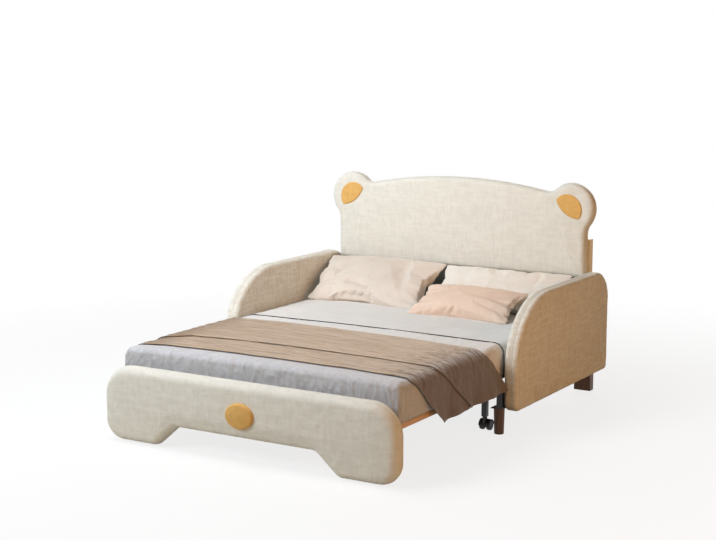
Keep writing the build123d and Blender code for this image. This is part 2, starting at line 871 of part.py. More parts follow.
# Pillows: outlines parallel to the seam. Each row gives its height above the seam, its size, its
# corner radius and how far its sides draw in, in shares of the half thickness, of the pillow's
# width and height, of its half height and of its own tuck. Outlines grow rounder as they rise.
pillow_shares = (
    (-1, 0.34, 0.22, 0.02),
    (-0.88, 0.62, 0.28, 0.06),
    (-0.52, 0.87, 0.20, 0.45),
    (0, 1, 0.06, 1),
    (0.52, 0.87, 0.20, 0.45),
    (0.88, 0.62, 0.28, 0.06),
    (1, 0.34, 0.22, 0.02),
)


def pillow(centre, width, height, thick, tuck, tilt):
    """Crowned pillow with drawn-in sides, leaning back by the tilt angle from lying flat."""
    leaning = Plane(
        origin=centre,
        x_dir=(1, 0, 0),
        z_dir=(0, -sin(radians(tilt)), cos(radians(tilt))),
    )
    with BuildPart() as cushion:
        for level_share, size_share, corner_share, tuck_share in pillow_shares:
            w = width / 2 * size_share
            h = height / 2 * size_share
            t = tuck * tuck_share
            with BuildSketch(leaning.offset(level_share * thick / 2)) as ring:
                with BuildLine():
                    ThreePointArc((-w, -h), (0, -h + t), (w, -h))
                    ThreePointArc((w, -h), (w - t, 0), (w, h))
                    ThreePointArc((w, h), (0, h - t), (-w, h))
                    ThreePointArc((-w, h), (-w + t, 0), (-w, -h))
                make_face()
                fillet(ring.vertices(), height / 2 * corner_share)
        loft()
        split(bisect_by=level(mattress_top + soft_gap), keep=Keep.TOP)
    return cushion.part


def leaning_centre(top_y, top_z, height, tilt):
    """Depth and height of a leaning pillow's centre from the place of its upper edge."""
    return (
        top_y - height / 2 * cos(radians(tilt)),
        top_z - height / 2 * sin(radians(tilt)),
    )


pillow_rows = (
    ("left_pillow", left_pillow_centre, back_pillow_width, left_pillow_height, left_pillow_thick,
     left_pillow_tuck, left_pillow_tilt, back_pillow_inset, back_pillow_top),
    ("right_pillow", right_pillow_centre, back_pillow_width, right_pillow_height, right_pillow_thick,
     right_pillow_tuck, right_pillow_tilt, back_pillow_inset, back_pillow_top),
    ("small_pillow", small_pillow_centre, small_pillow_width, small_pillow_height, small_pillow_thick,
     small_pillow_tuck, small_pillow_tilt, small_pillow_inset, small_pillow_top),
)
for label, x, width, height, thick, tuck, tilt, inset, top in pillow_rows:
    with BuildPart() as pillow_piece:
        y, z = leaning_centre(panel_front - inset, top, height, tilt)
        add(pillow((x, y, z), width, height, thick, tuck, tilt))
    save(pillow_piece, label)


# Throw folded double: two layers over the mattress, and a hanging part on each side
def throw_edge(left, right):
    """Upright plane along a slanting edge of the throw, facing the headboard."""
    run = Vector(2 * mattress_half_width, right - left, 0).normalized()
    middle = front_mattress_front + (left + right) / 2
    return Plane(origin=(0, middle, 0), x_dir=run, z_dir=(-run.Y, run.X, 0))


def throw_cover(thick, front_step, rear_left, rear_right):
    """Part of the throw that follows the mattress top and shoulders, between two slanting cuts."""
    start = front_mattress_front + min(throw_front_left, throw_front_right) - throw_overrun
    end = front_mattress_front + max(throw_rear_left, throw_rear_right) + throw_overrun
    with BuildPart() as layer:
        with BuildSketch(front_view(start)):
            add(mattress_section(soft_gap + thick))
            add(mattress_section(soft_gap), mode=Mode.SUBTRACT)
            with Locations((0, throw_hang_top / 2)):
                Rectangle(4 * mattress_half_width, throw_hang_top, mode=Mode.SUBTRACT)
        extrude(amount=start - end)
        front = throw_edge(throw_front_left + front_step, throw_front_right + front_step)
        rear = throw_edge(rear_left, rear_right)
        split(bisect_by=front, keep=Keep.TOP)
        split(bisect_by=rear, keep=Keep.BOTTOM)
    return layer.part


def wavy_band(x_start, x_end, run, wave, thick):
    """Band of cloth with an even row of folds that bow outwards and inwards in turn.

    It runs along y from near x_start to near x_end, and its side facing the
    mattress is never nearer to it than those two places.
    """
    out = 1 if x_end > 0 else -1
    x_step = (x_end - x_start) / throw_fold_count
    y_step = run / throw_fold_count
    with BuildSketch() as band:
        with BuildLine():
            for shift in (out * wave, out * (wave + thick)):
                for fold in range(throw_fold_count):
                    bow = out * wave if fold % 2 else -out * wave
                    near_x = x_start + fold * x_step + shift
                    near_y = fold * y_step
                    ThreePointArc(
                        (near_x, near_y),
                        (near_x + x_step / 2 + bow, near_y + y_step / 2),
                        (near_x + x_step, near_y + y_step),
                    )
            Line((x_start + out * wave, 0), (x_start + out * (wave + thick), 0))
            Line((x_end + out * wave, run), (x_end + out * (wave + thick), run))
        make_face()
    return band.sketch


def throw_side(sign, top_span, hem_span, hem_levels, flares, wave):
    """Hanging part from the mattress shoulder down to its sloping hem, as one loft."""
    inner = sign * (mattress_half_width + soft_gap)
    top_front, top_rear = [front_mattress_front + place for place in top_span]
    hem_front, hem_rear = [front_mattress_front + place for place in hem_span]
    slope = Vector(0, hem_rear - hem_front, hem_levels[1] - hem_levels[0])
    top_plane = Plane(origin=(0, top_front, throw_hang_top + throw_overlap), z_dir=(0, 0, 1))
    hem_plane = Plane(
        origin=(0, hem_front, hem_levels[0]),
        x_dir=(1, 0, 0),
        z_dir=(0, -slope.Z, slope.Y),
    )
    hem_start = inner + sign * flares[0]
    hem_end = inner + sign * flares[1]
    with BuildPart() as hanging:
        with BuildSketch(top_plane):
            add(wavy_band(inner, inner, top_rear - top_front, throw_top_wave, 2 * throw_layer))
        with BuildSketch(hem_plane):
            add(wavy_band(hem_start, hem_end, slope.length, wave, 2 * throw_layer))
        loft()
    return hanging.part


fold_left = throw_front_left + throw_fold_step
fold_right = throw_front_right + throw_fold_step
with BuildPart() as throw:
    add(throw_cover(throw_layer, 0, fold_left, fold_right))
    add(throw_cover(2 * throw_layer, throw_fold_step, throw_rear_left, throw_rear_right))
    add(
        throw_side(
            1, throw_top_right, throw_hem_right, throw_hem_levels_right, throw_flares_right, throw_right_wave
        )
    )
    add(
        throw_side(
            -1, throw_top_left, throw_hem_left, throw_hem_levels_left, throw_flares_left, throw_left_wave
        )
    )
save(throw, "throw")
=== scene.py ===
"""Looks of a padded pull-out bed for a child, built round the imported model.

Every new piece is a surface worked out with numpy in metres: X across the bed, Y from the foot to
the head, Z up, with the floor at 0. The bed is shown pulled out.
"""
import json

import bmesh
import bpy
import numpy as np
from bpy.props import FloatProperty, FloatVectorProperty, PointerProperty
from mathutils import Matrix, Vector


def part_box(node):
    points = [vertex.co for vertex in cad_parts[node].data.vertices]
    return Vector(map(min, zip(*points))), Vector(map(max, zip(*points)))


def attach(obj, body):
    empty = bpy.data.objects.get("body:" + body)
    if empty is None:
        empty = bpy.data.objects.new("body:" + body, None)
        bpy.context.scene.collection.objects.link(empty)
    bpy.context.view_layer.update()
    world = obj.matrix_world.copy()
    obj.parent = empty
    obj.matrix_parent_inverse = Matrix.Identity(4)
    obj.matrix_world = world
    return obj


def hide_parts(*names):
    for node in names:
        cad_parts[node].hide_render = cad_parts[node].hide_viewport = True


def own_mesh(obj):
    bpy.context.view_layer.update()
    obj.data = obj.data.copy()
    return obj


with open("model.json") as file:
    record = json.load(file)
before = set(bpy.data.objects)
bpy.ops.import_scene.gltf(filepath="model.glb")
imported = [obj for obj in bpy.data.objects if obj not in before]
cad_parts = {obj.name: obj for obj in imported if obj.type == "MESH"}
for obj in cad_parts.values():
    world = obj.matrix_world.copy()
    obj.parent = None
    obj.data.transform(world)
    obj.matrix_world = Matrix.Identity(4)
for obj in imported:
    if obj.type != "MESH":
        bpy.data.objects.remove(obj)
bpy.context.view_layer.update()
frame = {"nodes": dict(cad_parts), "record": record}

bl_info = {
    "name": "Pull-out bed",
    "version": (1, 0, 0),
    "blender": (4, 5, 0),
    "location": "View3D > Sidebar > Bed",
    "description": "Upholstery, bedding, finishes and studio for a pull-out bed",
    "category": "Object",
}

SIDES = (("left", -1), ("right", 1))

# Steps of an arc, places that an outline is cut into before it is resampled, and how far past the
# spine's ends the sides are looked up
ARC_STEPS = 64
FINE_PLACES = 6000
SPINE_MARGIN = 0.02

# Outlines of the padded boards, in metres
FOOT_TOP_RADIUS = 0.150
FOOT_BOTTOM_RADIUS = 0.100
PAW_INNER = 0.508
PAW_RADIUS = 0.060
ARCH_HALF_WIDTH = 0.387
ARCH_TOP = 0.112
ARCH_RADIUS = 0.050
HEAD_HALF_WIDTH = 0.780
HEAD_ARCH_RADIUS = 2.822
HEAD_FOOT_RADIUS = 0.026
EAR_CENTRE = (0.690, 1.004)
EAR_RADIUS = 0.137
WAIST_RADIUS = 0.090
NOTCH_RADIUS = 0.055
ARM_CURVE = (0.380, 0.330)
ARM_REAR_TOP_RADIUS = 0.150
ARM_REAR_BOTTOM_RADIUS = 0.030
ARM_FRONT_BOTTOM_RADIUS = 0.045

# Spines that the padded boards' rings shrink to: two places along and a level
HEAD_SPINE = ((-0.62, 0.62), 0.89)
FOOT_SPINE = ((-0.68, 0.68), 0.19)
MATTRESS_SPINE = ((-0.70, 0.70), 0.352)

# Spine of the arms: how far it ends behind their front and before their rear, and its level
ARM_SPINE = (0.30, 0.22, 0.40)

# Radii of the padded pieces' seen and hidden edges, and how far the arms may swell
HEAD_EDGE = 0.028
FOOT_EDGE = 0.041
PAD_REAR_EDGE = 0.006
BOARD_EDGES = (0.003, 0.006)
ARM_EDGES = (0.022, 0.009)
ARM_SWELL = 0.02
NOSE_EDGES = (0.013, 0.002)
NOSE_CROWN = 0.005
NOSE_SPINE = 0.012

# Boards behind the pads, and the piping where two layers meet
BOARD_INSET = 0.002
BOARD_PIPING_INSET = 0.0015
ARM_PIPING_INSET = 0.0035

# Nose and ear patches; the patches' tips and bulges are given in ear radii from the ear's centre
NOSE_SQUAT = 0.90
EAR_REACH = 0.271
PATCH_TIPS = ((-0.57, 0.36), (0.40, -0.39))
PATCH_BULGES = ((0.37, 0.38), (-0.24, -0.15))
PATCH_RIM = 0.006
PATCH_TIP_RIM = 0.008

# Mattress
MATTRESS_CROWN = 0.007
MATTRESS_BULGE = 0.006
MATTRESS_TOP_RADIUS = 0.046
MATTRESS_BOTTOM_RADIUS = 0.030
OUTER_RADIUS = 0.024
JOINT_RADIUS = 0.006

# Covers: how far they lie inside the solid, what the throw presses in and between which places, and
# how far behind the front end the cover's other colour starts
COVER_SLACK = 0.0012
PRESSED_IN = 0.0018
PRESSED = (0.085, 0.88)
HIDDEN_COVER = 0.55

# Piping of the mattress, and the gap that everything on the slats keeps
SEAM_RADIUS = 0.0026
SEAM_INSET = 0.020
SEAM_SINK = 0.007
SLAT_GAP = 0.0006

# Share of its length that a piece on the pull-out frame keeps when the frame is slid in: the front
# mattress's part before the rear section, and the throw, whose end stays in front of the arms
MATTRESS_KEEP = 0.156
THROW_KEEP = 0.104

# Throw: heights of its layers over the mattress, heights of its ends and of where it starts to
# hang, places in a row, its depth along the bed beside the mattress, and the lengths of its map
THROW_LIFT = 0.0036
THROW_LAYER = 0.0065
THROW_END_LEFT = 0.262
THROW_END_RIGHT = 0.190
THROW_HANGS_BELOW = 0.392
THROW_PLACES = 250
THROW_DEPTH = 0.574
THROW_FOLD_RUN = 0.01
THROW_RUN = 1.67
# Length on the map of the paler band at each hem: the hem itself, with a painted highlight along its rolled edge
HEM_AND_HIGHLIGHT = 0.011

# Edges of the throw: places across the bed, or down its right side, and how far each lies from
# the mattress's front end
THROW_ACROSS = (-0.772, -0.70, -0.62, -0.40, -0.10, 0.20, 0.45, 0.66, 0.772)
THROW_LOWER_EDGE = (0.078, 0.100, 0.130, 0.138, 0.137, 0.137, 0.137, 0.130, 0.110)
THROW_UPPER_EDGE = (0.240, 0.280, 0.350, 0.367, 0.374, 0.370, 0.363, 0.354, 0.346)
THROW_REAR_EDGE = (0.845, 0.851, 0.857, 0.868, 0.850, 0.838, 0.822, 0.800, 0.790)
THROW_DOWN = (0.440, 0.380, 0.300, 0.245, 0.190)
THROW_LOWER_HANG = (0.110, 0.172, 0.247, 0.314, 0.384)
THROW_UPPER_HANG = (0.346, 0.424, 0.507, 0.565, 0.606)
THROW_REAR_HANG = (0.790, 0.862, 0.912, 0.936, 0.950)

# Pillows: pleats round the seam, their depth, and the height that they fade over
PLEATS = 34
PLEAT_DEPTH = 0.006
PLEAT_FADE = 0.02

# Lamps: name, place, the place that each one faces, diameter, power and colour
LAMPS = (
    ("key", (-3.2, -5.2, 4.0), (0.0, 0.0, 0.4), 3.0, 218.0, (0.90, 0.95, 1.0)),
    ("over", (-1.0, -1.1, 2.9), (0.0, 0.8, 0.6), 2.0, 66.0, (0.90, 0.95, 1.0)),
    ("side", (4.6, -1.4, 1.9), (0.8, 0.2, 0.4), 2.4, 56.0, (1.0, 0.45, 0.09)),
    ("back", (-2.0, 6.5, 3.6), (0.0, 0.8, 0.5), 3.0, 125.0, (1.0, 0.98, 0.95)),
)

# Floor: half its size, its own colour and the shown one, and how its glow grows with the distance.
# World: its colour and strength, and the white that is shown.
FLOOR_REACH = 30.0
FLOOR_COLOURS = ((0.60, 0.55, 0.46), (0.95, 0.95, 0.95))
FLOOR_GLOW = {"From Min": 1.5, "From Max": 4.0, "To Min": 0.80, "To Max": 1.0}
WORLD_LIGHT = {"Color": (1.0, 0.91, 0.76, 1), "Strength": 0.11}
WHITE = {"Color": (1, 1, 1, 1), "Strength": 1.0}

# Camera: degrees to the right of straight on and downwards, and the focal length in pixels of a
# picture of that width
CAMERA_PLACE = (3.816, -6.354, 1.900)
CAMERA_TURN = 31.3
CAMERA_PITCH = 8.85
CAMERA_FOCUS = 1470.0
PICTURE_WIDTH = 716
SENSOR_WIDTH = 36.0


# ---------------------------------------------------------------- outlines

def rising(value, start, width):
    """Rises evenly from 0 at the start to 1 a width further, or downwards where that is negative."""
    return np.clip((value - start) / width, 0, 1)


def unit(vectors):
    """Rows of vectors, each over its own length."""
    return vectors / np.linalg.norm(vectors, axis=1, keepdims=True)


def straight(start, end):
    """Straight run: its two ends, and its normal, which is its direction turned right."""
    start, end = np.array(start, float), np.array(end, float)
    run = (end - start) / np.linalg.norm(end - start)
    normal = np.array([run[1], -run[0]])
    return np.array([start, end]), np.array([normal, normal])


def bend(centre, radii, start, end, steps=ARC_STEPS):
    """Arc of an ellipse: centre plus the radii times cosine and sine of evenly spaced angles.

    The normal is cosine and sine over the radii, and points inwards where the arc runs clockwise.
    """
    angle = np.radians(np.linspace(start, end, steps))
    radii = np.broadcast_to(radii, 2)
    turn = np.stack([np.cos(angle), np.sin(angle)], -1)
    return np.array(centre) + turn * radii, unit(turn / radii) * np.sign(end - start)


def joined(*runs):
    """One closed outline from runs that follow each other counter-clockwise."""
    return np.concatenate([r[0] for r in runs]), np.concatenate([r[1] for r in runs])


def looped(points, normals):
    """An outline whose first place comes again at its end."""
    return joined((points, normals), (points[:1], normals[:1]))


def mirrored(points, normals):
    """An outline's right half, given from bottom to top, joined to its mirror image."""
    flip = np.array([-1.0, 1.0])
    return joined((points, normals), (points[::-1] * flip, normals[::-1] * flip))


def heading(a, b):
    """Direction from one place to another, in degrees from X."""
    return np.degrees(np.arctan2(*(np.array(b) - np.array(a))[::-1]))


def corner_arc(before, corner, after, radius):
    """Rounding of a corner: its circle's centre lies on the corner's bisector, a radius off both runs."""
    before, corner, after = (np.array(p, float) for p in (before, corner, after))
    come = (corner - before) / np.linalg.norm(corner - before)
    leave = (after - corner) / np.linalg.norm(after - corner)
    side = np.sign(come[0] * leave[1] - come[1] * leave[0])
    left_come = np.array([-come[1], come[0]])
    left_leave = np.array([-leave[1], leave[0]])
    centre = corner + side * radius * (left_come + left_leave) / (1 + left_come @ left_leave)
    first = heading((0, 0), -side * left_come)
    last = heading((0, 0), -side * left_leave)
    return bend(centre, radius, first, first + side * ((side * (last - first)) % 360))


def rounded(corners, radii):
    """Closed outline through corners given counter-clockwise, each rounded to its radius."""
    following = corners[1:] + corners[:1]
    return joined(*(corner_arc(*row) for row in zip(corners[-1:] + corners[:-1], corners, following, radii)))


def footboard_outline():
    """Two paws below a flat arch, with every corner rounded."""
    low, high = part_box("footboard_pad")
    right = [(ARCH_HALF_WIDTH, ARCH_TOP), (PAW_INNER, low.z), (high.x, low.z), (high.x, high.z)]
    left = [(-x, z) for x, z in right[::-1]]
    radii = [ARCH_RADIUS, PAW_RADIUS, FOOT_BOTTOM_RADIUS, FOOT_TOP_RADIUS]
    return rounded(right + left, radii + radii[::-1])


def headboard_outline():
    """Flat sides, a round ear at each top corner and a top that is part of a wide circle.

    The circles that round the waist and the notch touch the side and the ear, or the ear and the
    top, from outside: their centres come from the distances between touching circles.
    """
    low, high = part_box("headboard_pad")
    ear = np.array(EAR_CENTRE)
    top_centre = np.array([0, high.z - HEAD_ARCH_RADIUS])
    waist_place = HEAD_HALF_WIDTH + WAIST_RADIUS
    waist_drop = ((EAR_RADIUS + WAIST_RADIUS) ** 2 - (waist_place - ear[0]) ** 2) ** 0.5
    waist = np.array([waist_place, ear[1] - waist_drop])
    to_ear = EAR_RADIUS + NOTCH_RADIUS
    to_top = HEAD_ARCH_RADIUS + NOTCH_RADIUS
    span = np.linalg.norm(ear - top_centre)
    along = (to_top**2 - to_ear**2 + span**2) / (2 * span)
    aside = (to_top**2 - along**2) ** 0.5
    run = (ear - top_centre) / span
    notch = top_centre + along * run + aside * np.array([-run[1], run[0]])
    foot = (HEAD_HALF_WIDTH - HEAD_FOOT_RADIUS, low.z + HEAD_FOOT_RADIUS)
    runs = [
        straight((0, low.z), (foot[0], low.z)),
        bend(foot, HEAD_FOOT_RADIUS, -90, 0),
        straight((HEAD_HALF_WIDTH, foot[1]), (HEAD_HALF_WIDTH, waist[1])),
        bend(waist, WAIST_RADIUS, 180, heading(waist, ear)),
        bend(ear, EAR_RADIUS, heading(ear, waist), heading(ear, notch)),
        bend(notch, NOTCH_RADIUS, heading(notch, ear), heading(notch, top_centre)),
        bend(top_centre, HEAD_ARCH_RADIUS, heading(top_centre, notch), 90),
    ]
    return mirrored(*joined(*runs))


def arm_outline():
    """Side of an arm: a quarter ellipse at the front and rounded corners elsewhere."""
    low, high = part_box("arm_outer_pad_left")
    corners = [(low.y, low.z), (high.y, low.z), (high.y, high.z), (low.y, high.z)]
    radii = [ARM_FRONT_BOTTOM_RADIUS, ARM_REAR_BOTTOM_RADIUS, ARM_REAR_TOP_RADIUS, ARM_REAR_TOP_RADIUS]
    three = [column[: 3 * ARC_STEPS] for column in rounded(corners, radii)]
    return joined(three, bend((low.y + ARM_CURVE[0], high.z - ARM_CURVE[1]), ARM_CURVE, 90, 180))


def arc_height(place, reach, rise):
    """Height of an arc over its chord: a circle through both ends and the rise in the middle."""
    radius = (reach**2 + rise**2) / (2 * abs(rise))
    return np.sign(rise) * (np.sqrt(np.maximum(radius**2 - place**2, 0)) - radius + abs(rise))


def mattress_outline():
    """Cross-section of the mattress: bulging sides, a crowned top and rounded corners.

    Each side is a circle through its two ends and its middle, and so is the top.
    """
    low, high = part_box("rear_mattress")
    half = high.x - MATTRESS_BULGE
    shoulder = high.z - MATTRESS_CROWN
    middle = (low.z + shoulder) / 2
    z = np.linspace(low.z + MATTRESS_BOTTOM_RADIUS, shoulder - MATTRESS_TOP_RADIUS, 48)
    side = np.stack([half + arc_height(z - middle, (shoulder - low.z) / 2, MATTRESS_BULGE), z], -1)
    x = np.linspace(half - MATTRESS_TOP_RADIUS, 0, 96)
    top = np.stack([x, shoulder + arc_height(x, half, MATTRESS_CROWN)], -1)
    bottom = np.stack([np.linspace(0, half - MATTRESS_BOTTOM_RADIUS, 8), np.full(8, low.z)], -1)
    low_arc = rounding(bottom[-1], (1, 0), side[0], side[1] - side[0])
    top_arc = rounding(side[-1], side[-1] - side[-2], top[0], top[1] - top[0])
    points = np.concatenate([bottom[:-1], low_arc, side[1:-1], top_arc, top[1:]])
    slope = np.gradient(points, axis=0)
    normals = np.stack([slope[:, 1], -slope[:, 0]], -1)
    normals[0], normals[-1] = (0, -1), (0, 1)
    return mirrored(points, unit(normals))


def rounding(start, leaving, end, arriving, steps=32):
    """Corner between two runs: a cubic curve that leaves one and meets the other along their directions."""
    start, end = np.array(start, float), np.array(end, float)
    reach = np.linalg.norm(end - start) * 0.39
    leaving = np.array(leaving, float) / np.linalg.norm(leaving) * reach
    arriving = np.array(arriving, float) / np.linalg.norm(arriving) * reach
    t = np.linspace(0, 1, steps)[:, None]
    return (
        (1 - t) ** 3 * start
        + 3 * (1 - t) ** 2 * t * (start + leaving)
        + 3 * (1 - t) * t**2 * (end - arriving)
        + t**3 * end
    )


def run_lengths(points):
    """Length of a run from its start to each of its points."""
    return np.concatenate([[0], np.cumsum(np.linalg.norm(np.diff(points, axis=0), axis=1))])


def even(points, normals, count, ends=True):
    """A run resampled at places evenly spaced along its length."""
    length = run_lengths(points)
    at = np.linspace(0, length[-1], count, endpoint=ends)
    mixed = [np.interp(at, length, column) for column in (*points.T, *normals.T)]
    return np.stack(mixed[:2], -1), unit(np.stack(mixed[2:], -1))


def about_spine(outline, spine, along, around):
    """Outline resampled so that places above and below the spine's inner part pair up.

    Between the spine's ends both sides are cut at the same evenly spaced places, and round each
    end the outline is cut evenly along its length. Returns the points, the normals and the spine
    point that each one shrinks to.
    """
    (first, last), level = spine
    points, normals = even(*looped(*outline), FINE_PLACES, ends=False)
    start = np.argmin(np.where(points[:, 1] < level, np.abs(points[:, 0] - first), np.inf))
    points, normals = looped(np.roll(points, -start, axis=0), np.roll(normals, -start, axis=0))
    low = points[:, 1] < level
    near = (points[:, 0] > first - SPINE_MARGIN) & (points[:, 0] < last + SPINE_MARGIN)
    places = np.linspace(first, last, along)

    def chain(mask, x):
        order = np.argsort(points[mask, 0], kind="stable")
        rows = [np.interp(x, points[mask, 0][order], c[mask][order]) for c in (points[:, 1], *normals.T)]
        return np.stack([x, rows[0]], -1), np.stack(rows[1:], -1)

    def cap(before, chosen, after):
        run = [np.concatenate([a[-1:], c, b[:1]]) for a, c, b in zip(before, chosen, after)]
        return [column[1:-1] for column in even(*run, around)]

    below = chain(low & near, places)
    above = chain(~low & near, places[::-1])
    right = points[:, 0] >= last
    left = points[:, 0] <= first
    turn = np.argsort(np.arctan2(points[left, 0] - first, level - points[left, 1]) % (2 * np.pi))
    right_cap = cap(below, (points[right], normals[right]), above)
    left_cap = cap(above, (points[left][turn], normals[left][turn]), below)
    ring, out = joined(below, right_cap, above, left_cap)
    goal = np.stack([np.clip(ring[:, 0], first, last), np.full(len(ring), level)], -1)
    goal[along - 1: along + around - 2] = (last, level)
    goal[2 * along + around - 3:] = (first, level)
    return ring, unit(out), goal


# ---------------------------------------------------------------- meshes

def lattice(rows, columns, closed, looped=False):
    """Corners of the quads between neighbouring rows and columns of a grid of points.

    The columns may close on themselves, and where they are looped the rows do too.
    """
    r = np.arange(rows if looped else rows - 1)[:, None]
    c = np.arange(columns if closed else columns - 1)[None]
    s, n = (r + 1) % rows, (c + 1) % columns
    quads = np.stack([r * columns + c, r * columns + n, s * columns + n, s * columns + c], -1)
    return quads.reshape(-1, 4)


def new_piece(name, points, faces, material, uv=None, weld=1e-6):
    """Object at the origin with its place in its mesh, closed where points meet, facing outwards."""
    mesh = bpy.data.meshes.new(name)
    mesh.from_pydata(np.asarray(points, float).reshape(-1, 3).tolist(), [], np.asarray(faces).tolist())
    if uv is not None:
        layer = mesh.uv_layers.new(name="cloth")
        corners = np.empty(len(mesh.loops), np.int32)
        mesh.loops.foreach_get("vertex_index", corners)
        layer.data.foreach_set("uv", np.asarray(uv, np.float32).reshape(-1, 2)[corners].ravel())
    shape = bmesh.new()
    shape.from_mesh(mesh)
    if weld:
        bmesh.ops.remove_doubles(shape, verts=shape.verts, dist=weld)
        bmesh.ops.dissolve_degenerate(shape, edges=shape.edges, dist=weld / 10)
    bmesh.ops.recalc_face_normals(shape, faces=shape.faces)
    shape.to_mesh(mesh)
    shape.free()
    mesh.shade_smooth()
    piece = bpy.data.objects.new(name, mesh)
    bpy.context.scene.collection.objects.link(piece)
    mesh.materials.append(material)
    return piece


def quarter(radius, count):
    """Insets and depths of a rounded edge: a radius times one minus sine and one minus cosine."""
    t = np.linspace(0, np.pi / 2, count)
    return radius * (1 - np.sin(t)), radius * (1 - np.cos(t))


def padded_board(outline, spine, thick, front_radius, rear_radius, crown, along, around,
                 front_rings=22, rear_rings=10, side_rings=5):
    """Grid of points of a padded board, in its outline's plane and across its thickness.

    Rings run from the spine in front, out over the front, round its edge, across the side, round
    the rear edge and back to the spine. A ring on a face lies between the edge's ring and the
    spine. In front it stands proud of the edge by the crown times one minus the square of its
    share of the way out.
    """
    ring, out, goal = about_spine(outline, spine, along, around)

    def face(edge_inset, depth, count, height):
        edge = ring - out * edge_inset
        return [
            np.column_stack([goal + (edge - goal) * share, np.full(len(ring), depth - height * (1 - share**2))])
            for share in np.linspace(0, 1, count, endpoint=False)
        ]

    share = np.linspace(0, 1, side_rings + 2)[1:-1]
    straight_depths = front_radius + share * (thick - front_radius - rear_radius)
    front_insets, front_depths = quarter(front_radius, 9)
    rear_insets, rear_depths = quarter(rear_radius, 5)
    insets = np.concatenate([front_insets, 0 * share, rear_insets[::-1]])
    depths = np.concatenate([front_depths, straight_depths, thick - rear_depths[::-1]])
    side = [np.column_stack([ring - out * a, np.full(len(ring), b)]) for a, b in zip(insets, depths)]
    front = face(front_radius, 0.0, front_rings, crown)
    rear = face(rear_radius, thick, rear_rings, 0.0)
    return np.array([*front, *side, *rear[::-1]])


def waves(points, size, count, seed, stretch=(1, 1, 1)):
    """Smooth random field: the mean of sine waves with random directions and phases about one size."""
    draw = np.random.default_rng(seed)
    direction = draw.normal(size=(count, 3))
    direction /= np.linalg.norm(direction, axis=1, keepdims=True)
    length = size * draw.uniform(0.6, 1.7, count)
    k = direction * (2 * np.pi / length)[:, None] / np.array(stretch)
    phase = draw.uniform(0, 2 * np.pi, count)
    return np.sin(np.asarray(points) @ k.T + phase).mean(-1) * count**0.5 / 1.4


def creases(points, size, count, seed, stretch=(1, 1, 1)):
    """Fine pulled creases: one minus the size of a wave field whose places are bent by a wider one."""
    bent = np.asarray(points) + 0.25 * size * np.stack(
        [waves(points, size * 2.5, 5, seed + n, stretch) for n in range(3)], -1
    )
    return np.clip(1 - 1.6 * np.abs(waves(bent, size, count, seed + 7, stretch)), 0, 1) ** 2


def tube(path, radius, sides=8):
    """Closed cord-like trim: a circle carried along a closed path, square to its run and to a side."""
    run = np.roll(path, -1, axis=0) - np.roll(path, 1, axis=0)
    run /= np.linalg.norm(run, axis=1, keepdims=True)
    across = np.eye(3)[np.ptp(path, axis=0).argmin()]
    up = np.cross(run, across)
    up /= np.linalg.norm(up, axis=1, keepdims=True)
    t = np.linspace(0, 2 * np.pi, sides, endpoint=False)
    ring = np.cos(t)[None, :, None] * up[:, None] + np.sin(t)[None, :, None] * across
    return path[:, None] + radius * ring, lattice(len(path), sides, True, looped=True)


# ---------------------------------------------------------------- finishes

class Nodes:
    """A node tree, with short ways to add and join its nodes."""

    def __init__(self, tree):
        self.tree = tree

    def set(self, node, inputs):
        """Sets a node's inputs, or joins them to other nodes' outputs."""
        for key, value in inputs.items():
            if isinstance(value, bpy.types.NodeSocket):
                self.tree.links.new(value, node.inputs[key])
            else:
                node.inputs[key].default_value = value

    def add(self, kind, inputs=None, **settings):
        node = self.tree.nodes.new("ShaderNode" + kind)
        for key, value in settings.items():
            setattr(node, key, value)
        self.set(node, inputs or {})
        return node

    def maths(self, kind, a, b=0.0):
        return self.add("Math", {0: a, 1: b}, operation=kind).outputs[0]

    def shown(self):
        """One for the rays that show the background, straight to the camera or in gloss and glass."""
        rays = self.add("LightPath").outputs
        gloss = self.maths("MAXIMUM", rays["Is Glossy Ray"], rays["Is Transmission Ray"])
        return self.maths("MAXIMUM", rays["Is Camera Ray"], gloss)

    def output(self, name, share, plain, glowing):
        """Shows one shader or another by a share."""
        blend = self.add("MixShader", {0: share, 1: plain, 2: glowing}).outputs[0]
        self.set(self.tree.nodes[name], {"Surface": blend})


